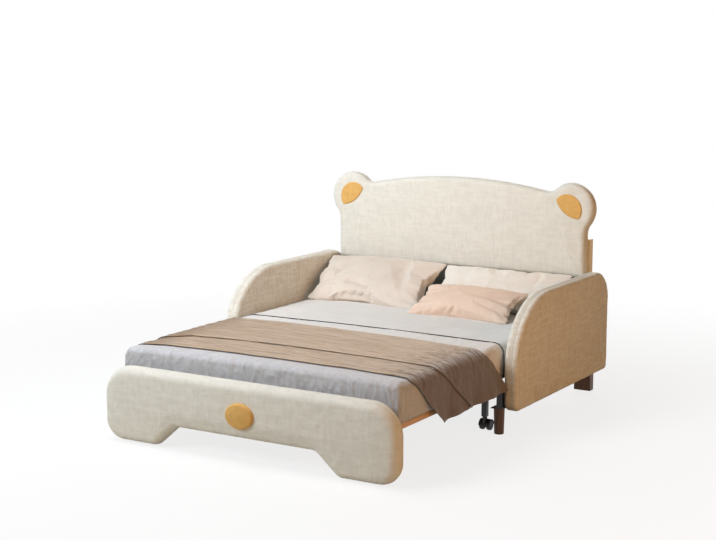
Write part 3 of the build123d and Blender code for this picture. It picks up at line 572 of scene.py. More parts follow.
class Finish(Nodes):
    """A material's nodes. Its tone is the colour that its layers have built up so far."""

    def __init__(self, name, roughness=0.5, metallic=0.0, sheen=0.0, coat=0.0, shine=0.5):
        self.material = bpy.data.materials.new(name)
        self.material.use_nodes = True
        super().__init__(self.material.node_tree)
        self.surface = self.tree.nodes["Principled BSDF"]
        self.set(self.surface, {
            "Roughness": roughness, "Metallic": metallic, "Sheen Weight": sheen, "Sheen Roughness": 0.5,
            "Coat Weight": coat, "Specular IOR Level": shine,
        })
        self.place = self.add("TexCoord").outputs["Object"]

    def noise(self, scale, detail=3.0, rough=0.55, distort=0.0, stretch=(1, 1, 1), source=None):
        place = self.add("Mapping", {"Vector": source or self.place, "Scale": stretch}).outputs[0]
        inputs = {"Vector": place, "Scale": scale, "Detail": detail, "Roughness": rough, "Distortion": distort}
        return self.add("TexNoise", inputs).outputs[0]

    def bands(self, scale, axis, source=None):
        inputs = {"Vector": source or self.place, "Scale": scale}
        return self.add("TexWave", inputs, bands_direction=axis).outputs[1]

    def weave(self, scale):
        """Threads along all three axes, from 0 to 3."""
        across = self.maths("ADD", self.bands(scale, "X"), self.bands(scale, "Y"))
        return self.maths("ADD", across, self.bands(scale, "Z"))

    def ramp(self, pattern, *stops):
        """Levels at places of a pattern, and evenly between them."""
        node = self.add("ValToRGB", {0: pattern})
        for n, (place, level) in enumerate(stops):
            stop = node.color_ramp.elements[n] if n < 2 else node.color_ramp.elements.new(place)
            stop.position = place
            stop.color = (level, level, level, 1)
        return node.outputs[0]

    def blend(self, share, a, b):
        """Makes the tone a mix of two colours."""
        a, b = (c if isinstance(c, bpy.types.NodeSocket) else (*c, 1) for c in (a, b))
        self.tone = self.add("Mix", {0: share, 6: a, 7: b}, data_type="RGBA").outputs[2]
        self.set(self.surface, {"Base Color": self.tone})

    def start(self, pattern, dark, pale, *stops):
        """Begins the tone with two colours in a pattern."""
        self.blend(self.ramp(pattern, *stops), dark, pale)

    def veil(self, pattern, colour, *stops):
        """Lays a colour over the tone in a pattern."""
        self.blend(self.ramp(pattern, *stops), self.tone, colour)

    def roughness(self, pattern, *stops):
        self.set(self.surface, {"Roughness": self.ramp(pattern, *stops)})

    def bump(self, height, distance, strength=1.0):
        """Adds a bump on top of those made before."""
        old = self.surface.inputs["Normal"]
        inputs = {"Height": height, "Distance": distance, "Strength": strength}
        if old.is_linked:
            inputs["Normal"] = old.links[0].from_socket
        self.set(self.surface, {"Normal": self.add("Bump", inputs).outputs[0]})


def linear(colour):
    """Screen colour from 0 to 255 as the linear values that a shader takes."""
    c = np.array(colour, float) / 255
    return tuple(np.where(c <= 0.04045, c / 12.92, ((c + 0.055) / 1.055) ** 2.4))


def shade(colour, factor, warm=0.0):
    """A colour made darker or lighter, and a little warmer as it darkens."""
    tint = np.array([1.0, 1 - warm * 0.5, 1 - warm])
    return tuple(np.clip(np.array(colour[:3]) * factor * tint, 0, 1))


def upholstery(name, colour, mottle=0.072, streak=0.8, pile=0.15, warm=0.02):
    """Slubbed weave with a short pile: soft blotches, upright and level slubs, and fine threads.

    The darker slubs are warmer than the rest by the warm share.
    """
    f = Finish(name, roughness=0.88, sheen=pile, shine=0.2)
    blotch = f.noise(9.0, 4.0, 0.65, 0.6)
    patch = f.noise(40.0, 3.0, 0.6, 0.4)
    upright = f.noise(56.0, 3.0, 0.6, stretch=(1, 1, 0.16))
    level = f.noise(56.0, 3.0, 0.6, stretch=(0.16, 0.16, 1))
    threads = f.weave(300.0)
    dark, pale = shade(colour, 1 - mottle * 0.35), shade(colour, 1 + mottle * 0.35)
    f.start(blotch, dark, pale, (0.38, 0.0), (0.62, 1.0))
    f.veil(patch, shade(colour, 1 - mottle * 0.9, warm * 0.5), (0.42, 0.0), (0.62, 0.7))
    f.veil(upright, shade(colour, 1 - mottle, warm), (0.47, 0.0), (0.60, streak))
    f.veil(level, shade(colour, 1 + mottle * 0.45), (0.48, 0.0), (0.61, streak * 0.8))
    f.veil(f.maths("DIVIDE", threads, 3.0), shade(colour, 0.80, 0.03), (0.25, 0.0), (0.75, 0.08))
    f.roughness(patch, (0.3, 0.80), (0.7, 0.93))
    f.bump(upright, 0.0013, 0.6)
    f.bump(level, 0.0013, 0.5)
    f.bump(threads, 0.00015, 0.5)
    return f.material


def bed_linen(name, colour, soft=0.05, sheen=0.12, plush=0.0, behind=None):
    """Smooth woven cotton: a faint weave, broad soft creases and slight changes of tone.

    Where it is plush, brushed patches of pile lie one way or the other, lighter or darker. Behind
    a place along the bed, hidden under the throw, the cover has another colour.
    """
    f = Finish(name, roughness=0.82, sheen=sheen, shine=0.25)
    cloud = f.noise(5.0, 3.0, 0.55, 0.5)
    fine = f.noise(160.0, 2.0, 0.6)
    f.start(cloud, shade(colour, 1 - soft, 0.02), shade(colour, 1 + soft * 0.6), (0.3, 0.0), (0.7, 1.0))
    if plush:
        brushed = f.noise(30.0, 4.0, 0.65, 1.0, stretch=(1.0, 0.5, 1.0))
        f.veil(brushed, shade(colour, 1 - plush), (0.40, 0.0), (0.60, 0.9))
        f.bump(brushed, 0.0022, 0.5)
    if behind:
        along = f.add("SeparateXYZ", {0: f.place}).outputs["Y"]
        f.blend(f.maths("GREATER_THAN", along, behind[0]), f.tone, behind[1])
    f.veil(fine, shade(colour, 1 - soft * 1.8, 0.03), (0.4, 0.0), (0.8, 0.35))
    f.roughness(fine, (0.3, 0.74), (0.7, 0.90))
    f.bump(f.noise(18.0, 3.0, 0.6, 1.2), 0.0012, 0.7)
    f.bump(f.weave(900.0), 0.00012, 0.5)
    return f.material


def knitted(name, colour, deep, end):
    """Finely ribbed knit: ribs and loops follow the cloth's own map, with darker streaks, paler streaks
    that are painted highlights, and painted shade in the grooves between the ribs.

    Towards both hanging ends the colour darkens with painted shade, and both hems are paler: a
    stitched hem band with a painted highlight along the rolled edge.
    """
    f = Finish(name, roughness=0.6, sheen=1.0)
    f.set(f.surface, {"Sheen Roughness": 0.32, "Sheen Tint": (1.0, 0.96, 0.92, 1)})
    uv = f.add("UVMap", uv_map="cloth").outputs[0]
    ribs = f.bands(55.0, "Y", source=uv)
    loops = f.bands(75.0, "X", source=uv)
    lint = f.noise(220.0, 2.0, 0.7)
    streaks = f.noise(34.0, 4.0, 0.65, 0.4, stretch=(0.10, 1, 1), source=uv)
    f.start(f.noise(4.0, 3.0, 0.6, 0.6), shade(colour, 0.95, 0.03), shade(colour, 1.04), (0.3, 0.0), (0.7, 1.0))
    f.veil(streaks, deep, (0.40, 0.45), (0.52, 0.0))
    # Painted highlights: paler streaks along the cloth
    f.veil(streaks, shade(colour, 1.3), (0.54, 0.0), (0.70, 0.6))
    # Painted shade in the grooves between the ribs
    f.veil(ribs, deep, (0.15, 0.30), (0.6, 0.0))
    # Paler hems: the stitched hem band, with a painted highlight along the rolled edge
    run = f.add("SeparateXYZ", {0: uv}).outputs["Y"]
    hem = f.maths("ADD", f.maths("LESS_THAN", run, HEM_AND_HIGHLIGHT), f.maths("GREATER_THAN", run, THROW_RUN - HEM_AND_HIGHLIGHT))
    f.blend(f.maths("MULTIPLY", hem, 0.6), f.tone, shade(colour, 1.35))
    # Painted shade: past the mattress's sides, where the ends hang, the colour turns mostly to the end colour, the
    # shade on the hanging cloth
    out = f.maths("ABSOLUTE", f.add("SeparateXYZ", {0: f.place}).outputs["X"])
    spread = {"Value": out, "From Min": 0.56, "From Max": 0.80, "To Min": 0.0, "To Max": 1.0}
    hanging = f.add("MapRange", spread, interpolation_type="SMOOTHSTEP").outputs[0]
    laid = f.tone
    f.blend(0.15, end, laid)
    f.blend(hanging, laid, f.tone)
    f.veil(lint, shade(colour, 0.84, 0.05), (0.45, 0.0), (0.8, 0.5))
    f.roughness(lint, (0.3, 0.52), (0.7, 0.66))
    f.bump(f.maths("ADD", ribs, f.maths("MULTIPLY", loops, 0.35)), 0.0007, 0.8)
    return f.material


def timber(name, pale, dark, along, ring=26.0, gloss=0.42):
    """Planed wood: growth lines bent by a wide noise and fine pores, both drawn out along the grain."""
    f = Finish(name, roughness=gloss, coat=0.06, shine=0.35)
    lines = f.noise(ring, 5.0, 0.6, 1.3, stretch=[0.06 if axis == along else 1.0 for axis in "XYZ"])
    pores = f.noise(420.0, 2.0, 0.7, stretch=[0.02 if axis == along else 1.0 for axis in "XYZ"])
    f.start(lines, pale, dark, (0.36, 0.0), (0.50, 0.75), (0.62, 0.15))
    f.veil(pores, shade(dark, 0.7, 0.05), (0.52, 0.0), (0.75, 0.6))
    f.veil(f.noise(3.0, 2.0), shade(pale, 0.82, 0.08), (0.35, 0.0), (0.7, 0.3))
    f.roughness(pores, (0.3, gloss - 0.06), (0.7, gloss + 0.16))
    f.bump(pores, 0.0005, 0.5)
    f.bump(lines, 0.0005, 0.25)
    return f.material


def painted_metal(name, colour):
    """Satin paint on steel: faint orange peel, and scuffs a little brighter."""
    f = Finish(name, roughness=0.38, coat=0.1)
    scuff = f.noise(24.0, 5.0, 0.7, 0.8)
    f.start(scuff, colour, shade(colour, 2.4), (0.55, 0.0), (0.75, 0.5))
    f.roughness(scuff, (0.3, 0.30), (0.75, 0.52))
    f.bump(f.noise(300.0, 2.0, 0.5), 0.0002, 0.4)
    return f.material


def plated_metal(name, colour):
    """Zinc plate: bright metal with cloudy spangle and fine turning marks."""
    f = Finish(name, roughness=0.34, metallic=1.0)
    spangle = f.add("TexVoronoi", {"Vector": f.place, "Scale": 180.0}).outputs[0]
    f.start(spangle, shade(colour, 0.82), colour, (0.1, 0.0), (0.7, 0.7))
    f.roughness(f.noise(40.0, 3.0, 0.6), (0.3, 0.26), (0.7, 0.48))
    f.bump(f.noise(500.0, 2.0), 0.0001, 0.4)
    return f.material


def moulded_plastic(name, colour):
    """Matte moulded plastic: fine spark texture, with dust that dulls it in patches."""
    f = Finish(name, roughness=0.55)
    dust = f.noise(30.0, 4.0, 0.65, 0.5)
    f.start(dust, colour, shade(colour, 2.2, 0.1), (0.5, 0.0), (0.8, 0.5))
    f.roughness(dust, (0.3, 0.46), (0.7, 0.70))
    f.bump(f.noise(700.0, 2.0, 0.6), 0.00012, 0.5)
    return f.material


def pressed_felt(name, colour):
    """Felt pad: matted fibres in several tones."""
    f = Finish(name, roughness=0.95, sheen=0.1, shine=0.2)
    fibres = f.noise(500.0, 4.0, 0.75, 1.5)
    f.start(fibres, shade(colour, 0.7), shade(colour, 1.5), (0.35, 0.0), (0.7, 1.0))
    f.bump(fibres, 0.0006, 0.8)
    return f.material


# ---------------------------------------------------------------- settings

def colour_setting(label, about, value):
    return FloatVectorProperty(
        name=label, description=about, default=linear(value), size=3, min=0, max=1, subtype="COLOR"
    )


def length_setting(label, about, value, high=0.05):
    return FloatProperty(
        name=label, description=about, default=value, min=0, max=high, subtype="DISTANCE", unit="LENGTH"
    )


class BedColours(bpy.types.PropertyGroup):
    cream: colour_setting("Cream", "Fabric of the headboard, the footboard and the arms", (229, 226, 216))
    caramel: colour_setting("Caramel", "Fabric of the nose and the ear patches", (226, 178, 104))
    # Painted shade: the low panel's dark grey-green is the shade in the gap behind the mattress
    low_panel_shade: colour_setting("Lining", "Fabric of the low panel behind the mattress", (104, 106, 96))
    cover: colour_setting("Mattress cover", "Cover of the front half", (199, 199, 203))
    sheet: colour_setting("Sheet", "Sheet of the rear half", (224, 222, 219))
    throw: colour_setting("Throw", "Knitted throw", (174, 152, 127))
    # Painted shade in the grooves between the throw's ribs; also the colour of its darker streaks
    throw_streak_and_rib_shade: colour_setting("Throw between ribs", "Knitted throw between its ribs", (108, 84, 62))
    # Painted shade: the colour that the throw darkens to where its ends hang
    throw_hang_shade: colour_setting("Throw's ends", "Knitted throw at its hanging ends", (84, 60, 42))
    beige: colour_setting("Beige pillow", "Pillow on the left", (222, 210, 198))
    pale: colour_setting("Pale pillow", "Pillow on the right", (232, 224, 214))
    peach: colour_setting("Peach pillow", "Small pillow in front", (232, 206, 187))
    pine: colour_setting("Pine", "Slats, side rails and the front beam", (228, 190, 134))
    pine_grain: colour_setting("Pine grain", "Growth lines in the pine", (200, 146, 88))
    post: colour_setting("Post", "Headboard posts", (244, 232, 202))
    post_grain: colour_setting("Post grain", "Growth lines in the headboard posts", (232, 208, 160))
    walnut: colour_setting("Walnut", "Legs and rear feet", (108, 76, 50))
    walnut_grain: colour_setting("Walnut grain", "Streaks in the walnut", (64, 42, 27))
    black: colour_setting("Black paint", "Steel rails, beams and posts", (30, 30, 33))
    zinc: colour_setting("Zinc", "Bolts and brackets", (190, 190, 188))
    plastic: colour_setting("Black plastic", "Casters and wheels", (24, 24, 26))
    # The felt colour also paints the shadow in the mattress joint, as the dark cord there
    felt: colour_setting("Felt", "Pads between beams and slats, and the dark piping", (58, 57, 55))


class BedSizes(bpy.types.PropertyGroup):
    board_crown: length_setting("Board crown", "How far the middle of a padded board stands proud", 0.006)
    piping: length_setting("Piping", "Radius of the piping between two layers of padding", 0.0035, 0.01)
    pucker: length_setting("Pucker", "Height of the small puckers in the upholstery", 0.0009, 0.01)
    linen_crease: length_setting("Linen creases", "Height of the creases in the mattress covers", 0.0048, 0.02)
    throw_thickness: length_setting("Throw thickness", "Thickness of one layer of the throw", 0.0030, 0.01)
    throw_crease: length_setting("Throw creases", "Height of the long creases in the throw", 0.0065, 0.02)


def sizes():
    return bpy.context.scene.bed_sizes


def finish(slot, along="Z", variant=""):
    """The finish that belongs to a material slot, made once; wood also has its grain's direction.

    A variant is another finish of the same slot: the arms' bolder weave, whose darker slubs are
    warmed with painted warm shade, or the posts' paler wood.
    """
    key = f"{slot}_{variant or 'main'}_finish"
    if slot in ("pine", "walnut"):
        key += f"_{along.lower()}"
    if key in bpy.data.materials:
        return bpy.data.materials[key]
    c = bpy.context.scene.bed_colours
    hidden = (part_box("front_mattress")[0].y + HIDDEN_COVER, c.sheet)
    makers = {
        "cream_fabric": lambda: upholstery(key, c.cream),
        # The arms' darker slubs are warmed with painted warm shade
        "cream_fabric_arm": lambda: upholstery(key, c.cream, mottle=0.115, streak=1.0, warm=0.12),
        "caramel_fabric": lambda: upholstery(key, c.caramel, mottle=0.14, streak=0.3),
        # The low panel's colour holds painted shade from the gap behind the mattress
        "grey_fabric": lambda: upholstery(key, c.low_panel_shade, mottle=0.16, pile=0.1),
        "mattress_cover": lambda: bed_linen(key, c.cover, soft=0.07, sheen=0.3, plush=0.13, behind=hidden),
        "sheet_white": lambda: bed_linen(key, c.sheet),
        "throw_wool": lambda: knitted(key, c.throw, c.throw_streak_and_rib_shade, c.throw_hang_shade),
        "beige_cotton": lambda: bed_linen(key, c.beige, soft=0.06),
        "cream_cotton": lambda: bed_linen(key, c.pale),
        "peach_cotton": lambda: bed_linen(key, c.peach, soft=0.07),
        "pine": lambda: timber(key, c.pine, c.pine_grain, along),
        "pine_post": lambda: timber(key, c.post, c.post_grain, along, ring=60.0),
        "walnut": lambda: timber(key, c.walnut, c.walnut_grain, along, ring=44.0, gloss=0.40),
        "black_steel": lambda: painted_metal(key, c.black),
        "zinc_steel": lambda: plated_metal(key, c.zinc),
        "black_plastic": lambda: moulded_plastic(key, c.plastic),
        "felt": lambda: pressed_felt(key, c.felt),
    }
    return makers[f"{slot}_{variant}" if variant else slot]()


# ---------------------------------------------------------------- pieces

def declared(piece, body, nodes=(), keep=None):
    """Says what carries a piece and which nodes it stands for.

    A piece with a share to keep gets a mesh of its own.
    """
    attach(piece, body)
    if keep:
        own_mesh(piece)
    if nodes:
        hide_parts(*nodes)


def changed(piece, kind, **settings):
    """Changes a piece's mesh for good by a modifier with its settings."""
    change = piece.modifiers.new(kind.lower(), kind)
    for key, value in settings.items():
        setattr(change, key, value)
    with bpy.context.temp_override(object=piece, active_object=piece):
        bpy.ops.object.modifier_apply(modifier=change.name)


def to_front(grid, base):
    """Places a board's grid upright across the bed: its depth runs to the rear from the base."""
    return np.stack([grid[..., 0], base + grid[..., 2], grid[..., 1]], -1)


def to_side(grid, base, sign):
    """Places a board's grid upright along the bed: its depth runs outwards from the base."""
    return np.stack([base + sign * grid[..., 2], grid[..., 0], grid[..., 1]], -1)


def puckered(points, normal_axis, seed):
    """Small fabric undulation across a board's face: a wave field times the puckers' height."""
    moved = points.copy()
    moved[..., normal_axis] += sizes().pucker * waves(points, 0.05, 48, seed)
    return moved


def board_piece(name, grid, slot, body, nodes, variant=""):
    """Makes a padded board from its placed grid and declares what it stands for."""
    piece = new_piece(name, grid, lattice(*grid.shape[:2], True), finish(slot, variant=variant))
    declared(piece, body, nodes)


def ring_path(outline, inset, count):
    """Closed path along an outline drawn in by the inset, with evenly spaced points."""
    points, normals = even(*looped(*outline), count, ends=False)
    return points - normals * inset


def ring_across(outline, inset, count, y):
    """The same path, upright across the bed at a place along it."""
    path = ring_path(outline, inset, count)
    return np.column_stack([path[:, 0], np.full(len(path), y), path[:, 1]])


def piping_piece(name, path, body):
    """A round trim of cream fabric carried along a closed path."""
    piece = new_piece(name, *tube(path, sizes().piping), finish("cream_fabric"))
    declared(piece, body)


def padded_end(name, outline, spine, body, edge, seed, front, rear, trim):
    """Upholsters an upright board across the bed: front pad, rear board and piping between them.

    The front and the rear each give how many places lie along the spine and round its ends, the
    rear also how many rings lie on its face, and the trim how many points its piping has. Returns
    where the pad's face lies.
    """
    low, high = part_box(f"{name}_pad")
    pad = padded_board(outline, spine, high.y - low.y, edge, PAD_REAR_EDGE, sizes().board_crown, *front)
    pad = puckered(to_front(pad, low.y), 1, seed)
    pad[..., 1] = np.minimum(pad[..., 1], high.y)
    board_piece(f"{name}_front", pad, "cream_fabric", body, [f"{name}_pad"])
    board_low, board_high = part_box(f"{name}_board")
    shrunk = (outline[0] - outline[1] * BOARD_INSET, outline[1])
    along, around, rings = rear
    back = padded_board(
        shrunk, spine, board_high.y - board_low.y, *BOARD_EDGES, 0.0, along, around, front_rings=6, rear_rings=rings
    )
    board_piece(f"{name}_back", to_front(back, board_low.y), "cream_fabric", body, [f"{name}_board"])
    piping_piece(f"{name}_piping", ring_across(outline, BOARD_PIPING_INSET, trim, high.y), body)
    return low.y


class BED_OT_headboard(bpy.types.Operator):
    """Upholster the headboard: front pad, rear board, their piping and the ear patches"""
    bl_idname = "bed.headboard"
    bl_label = "Headboard"

    def execute(self, context):
        face = padded_end("headboard", headboard_outline(), HEAD_SPINE, "bed_base", HEAD_EDGE,
                          seed=3, front=(230, 110), rear=(120, 70, 16), trim=640)
        for side, sign in SIDES:
            self.patch(side, sign, face)
        return {"FINISHED"}

    def patch(self, side, sign, face):
        """Leaf between two arcs, slightly domed, with a narrow raised edge."""
        node = f"ear_patch_{side}"
        low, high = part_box(node)
        tips, bulges = (
            [np.array(EAR_CENTRE) + EAR_RADIUS * np.array(p) for p in row] for row in (PATCH_TIPS, PATCH_BULGES)
        )
        run = tips[1] - tips[0]
        length = np.linalg.norm(run)
        run /= length
        lift = np.array([-run[1], run[0]])
        middle = (tips[0] + tips[1]) / 2
        x = np.linspace(-length / 2, length / 2, 60)
        edges = [arc_height(x, length / 2, float((b - middle) @ lift)) for b in bulges]
        upper, lower = np.maximum(*edges), np.minimum(*edges)
        share = np.linspace(0, 1, 25)[:, None]
        across = lower + (upper - lower) * share
        rim = np.minimum(np.minimum(share, 1 - share) * (upper - lower) / PATCH_RIM, 1)
        rim = np.minimum(rim, np.minimum(x - x[0], x[-1] - x) / PATCH_TIP_RIM)
        crown = np.sin(np.pi * share) * np.cos(np.pi * x / length)
        dome = (high.y - low.y) * (0.55 * np.sqrt(np.clip(rim, 0, 1)) + 0.45 * crown)
        flat = middle + x[None, :, None] * run + across[..., None] * lift
        away = np.hypot(np.maximum(flat[..., 0] - HEAD_SPINE[0][1], 0), flat[..., 1] - HEAD_SPINE[1])
        face = face - sizes().board_crown * (1 - (away / EAR_REACH) ** 2) - sizes().pucker
        front, back = (
            np.stack([sign * flat[..., 0], y, flat[..., 1]], -1) for y in (face - dome, face + 2 * sizes().pucker)
        )
        points = np.concatenate([front, back[::-1]])
        rows, columns = points.shape[:2]
        step = np.arange(columns - 1)
        last = (rows - 1) * columns + step
        closing = np.stack([last, last + 1, step + 1, step], -1)
        faces = np.concatenate([lattice(rows, columns, False), closing])
        piece = new_piece(f"ear_leaf_{side}", points, faces, finish("caramel_fabric"), weld=2e-4)
        declared(piece, "bed_base", [node])


class BED_OT_footboard(bpy.types.Operator):
    """Upholster the footboard: front pad, rear board, their piping and the nose"""
    bl_idname = "bed.footboard"
    bl_label = "Footboard"

    def execute(self, context):
        padded_end("footboard", footboard_outline(), FOOT_SPINE, "pullout", FOOT_EDGE,
                   seed=5, front=(250, 80), rear=(130, 50, 14), trim=560)
        self.nose()
        return {"FINISHED"}

    def nose(self):
        """Domed oval: rings of an ellipse, with a rounded rim and a crown."""
        low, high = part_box("nose")
        middle = (low.z + high.z) / 2
        radii = ((high.x - low.x) / 2, (high.z - low.z) / 2 * NOSE_SQUAT)
        oval = bend((0, middle), radii, 0, 360, steps=240)
        grid = padded_board(oval, ((-NOSE_SPINE, NOSE_SPINE), middle), high.y - low.y, *NOSE_EDGES, NOSE_CROWN,
                            along=9, around=70, front_rings=18, rear_rings=3)
        board_piece("nose_button", to_front(grid, low.y), "caramel_fabric", "pullout", ["nose"])


class BED_OT_arms(bpy.types.Operator):
    """Upholster both side arms: an inner and an outer pad each, with piping where they meet"""
    bl_idname = "bed.arms"
    bl_label = "Side arms"

    def execute(self, context):
        outline = arm_outline()
        low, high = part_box("arm_outer_pad_right")
        spine = ((low.y + ARM_SPINE[0], high.y - ARM_SPINE[1]), ARM_SPINE[2])
        for side, sign in SIDES:
            for layer, seen in (("inner", -1), ("outer", 1)):
                node = f"arm_{layer}_pad_{side}"
                near, far = self.reach(node)
                grid = padded_board(
                    outline, spine, far - near, *ARM_EDGES, sizes().board_crown, along=150, around=110, rear_rings=6
                )
                placed = to_side(grid, sign * (far if seen > 0 else near), -seen * sign)
                placed = puckered(placed, 0, 11 + seen)
                limits = (near, far + ARM_SWELL) if seen > 0 else (near - ARM_SWELL, far)
                placed[..., 0] = sign * np.clip(sign * placed[..., 0], *limits)
                board_piece(f"arm_{layer}_{side}", placed, "cream_fabric", "bed_base", [node], variant="arm")
            for layer, x in zip(("inner", "outer"), self.reach(f"arm_board_{side}")):
                path = ring_path(outline, ARM_PIPING_INSET, 420)
                path = np.column_stack([np.full(len(path), sign * x), path])
                piping_piece(f"arm_piping_{layer}_{side}", path, "bed_base")
        return {"FINISHED"}

    def reach(self, node):
        """A node's least and greatest distance from the bed's middle."""
        return sorted(abs(corner.x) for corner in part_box(node))


def pushed_out(grid, move):
    """Moves each point of a closed grid along its own normal, found from its neighbours."""
    across = np.roll(grid, -1, axis=1) - np.roll(grid, 1, axis=1)
    along = np.gradient(grid, axis=0)
    normal = np.cross(across, along)
    size = np.linalg.norm(normal, axis=-1, keepdims=True)
    normal = np.where(size > 1e-12, normal / np.maximum(size, 1e-12), 0)
    centre = grid.reshape(-1, 3).mean(0)
    facing = np.sign(np.median(((grid - centre) * normal).sum(-1)))
    return grid + facing * normal * move[..., None]


class BED_OT_mattress(bpy.types.Operator):
    """Make both mattress sections in their fitted covers, with their seams and a painted shadow at their joint"""
    bl_idname = "bed.mattress"
    bl_label = "Mattress"

    def execute(self, context):
        """Each row holds a section's finish, body, kept share, radii of its ends, crown of its
        front end, share of the creases' height, seed and the long creases' stretch.
        """
        for end, slot, body, keep, radii, crown, share, seed, stretch in (
            ("front", "mattress_cover", "pullout", MATTRESS_KEEP, (OUTER_RADIUS, JOINT_RADIUS), 0.002, 1.0, 21,
             (1.0, 2.6, 1.0)),
            ("rear", "sheet_white", "bed_base", None, (JOINT_RADIUS, OUTER_RADIUS), 0.0, 0.55, 31,
             (2.8, 0.9, 1.0)),
        ):
            node = f"{end}_mattress"
            low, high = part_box(node)
            grid = padded_board(mattress_outline(), MATTRESS_SPINE, high.y - low.y, *radii, crown,
                                along=230, around=52, front_rings=12, rear_rings=8, side_rings=96)
            grid = to_front(grid, low.y)
            x, y, z = np.moveaxis(grid, -1, 0)
            top = rising(z, high.z - 0.07, 0.05)
            edges = np.maximum(rising(y, low.y + 0.09, -0.06), rising(np.abs(x), 0.71, 0.05))
            long = creases(grid, 0.16, 9, seed, stretch)
            fine = creases(grid, 0.05, 9, 41, stretch=(0.8, 1.6, 1.6))
            upright = creases(grid, 0.05, 9, 51, stretch=(0.8, 0.8, 3.0))
            start, stop = (low.y + place for place in PRESSED)
            covered = rising(np.minimum(y - start, stop - y), 0, 0.03) if keep else 0
            loose = (0.9 * long + 0.35 * fine) * top + (0.6 * fine + 0.5 * upright) * edges * (1 - 0.6 * top)
            move = sizes().linen_crease * share * loose * (1 - covered) - PRESSED_IN * covered
            grid = pushed_out(grid, np.where(z < low.z + 0.004, 0, move - COVER_SLACK))
            grid[..., 2] = np.maximum(grid[..., 2], low.z + SLAT_GAP)
            piece = new_piece(f"mattress_{end}", grid, lattice(*grid.shape[:2], True), finish(slot))
            declared(piece, body, [node], keep)
        self.seams()
        return {"FINISHED"}

    def seams(self):
        """White piping round the outer ends, and a dark cord round the rear section's front end that
        paints the shadow in the joint between the two sections.

        The front piping sinks into the cover on top, and the dark cord wanders a little.
        """
        outline = mattress_outline()
        front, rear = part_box("front_mattress"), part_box("rear_mattress")
        for name, slot, body, keep, y, inset, wander in (
            ("front", "sheet_white", "pullout", MATTRESS_KEEP, front[0].y + SEAM_INSET, 0.0006, 0.0),
            ("rear", "sheet_white", "bed_base", None, rear[1].y - SEAM_INSET, 0.0006, 0.0),
            # Dark cord in the joint: painted shadow where the two sections meet
            ("joint", "felt", "bed_base", None, rear[0].y + 0.004, -0.0014, 0.0015),
        ):
            path = ring_across(outline, inset, 420, y)
            path[:, 1] += wander * waves(path, 0.30, 6, 15)
            if keep:
                path[:, 2] -= SEAM_SINK * rising(path[:, 2], front[1].z - 0.050, 0.030)
            points, faces = tube(path, SEAM_RADIUS)
            points[..., 2] = np.maximum(points[..., 2], front[0].z + SLAT_GAP)
            piece = new_piece(f"mattress_{name}_piping", points, faces, finish(slot))
            declared(piece, body, keep=keep)


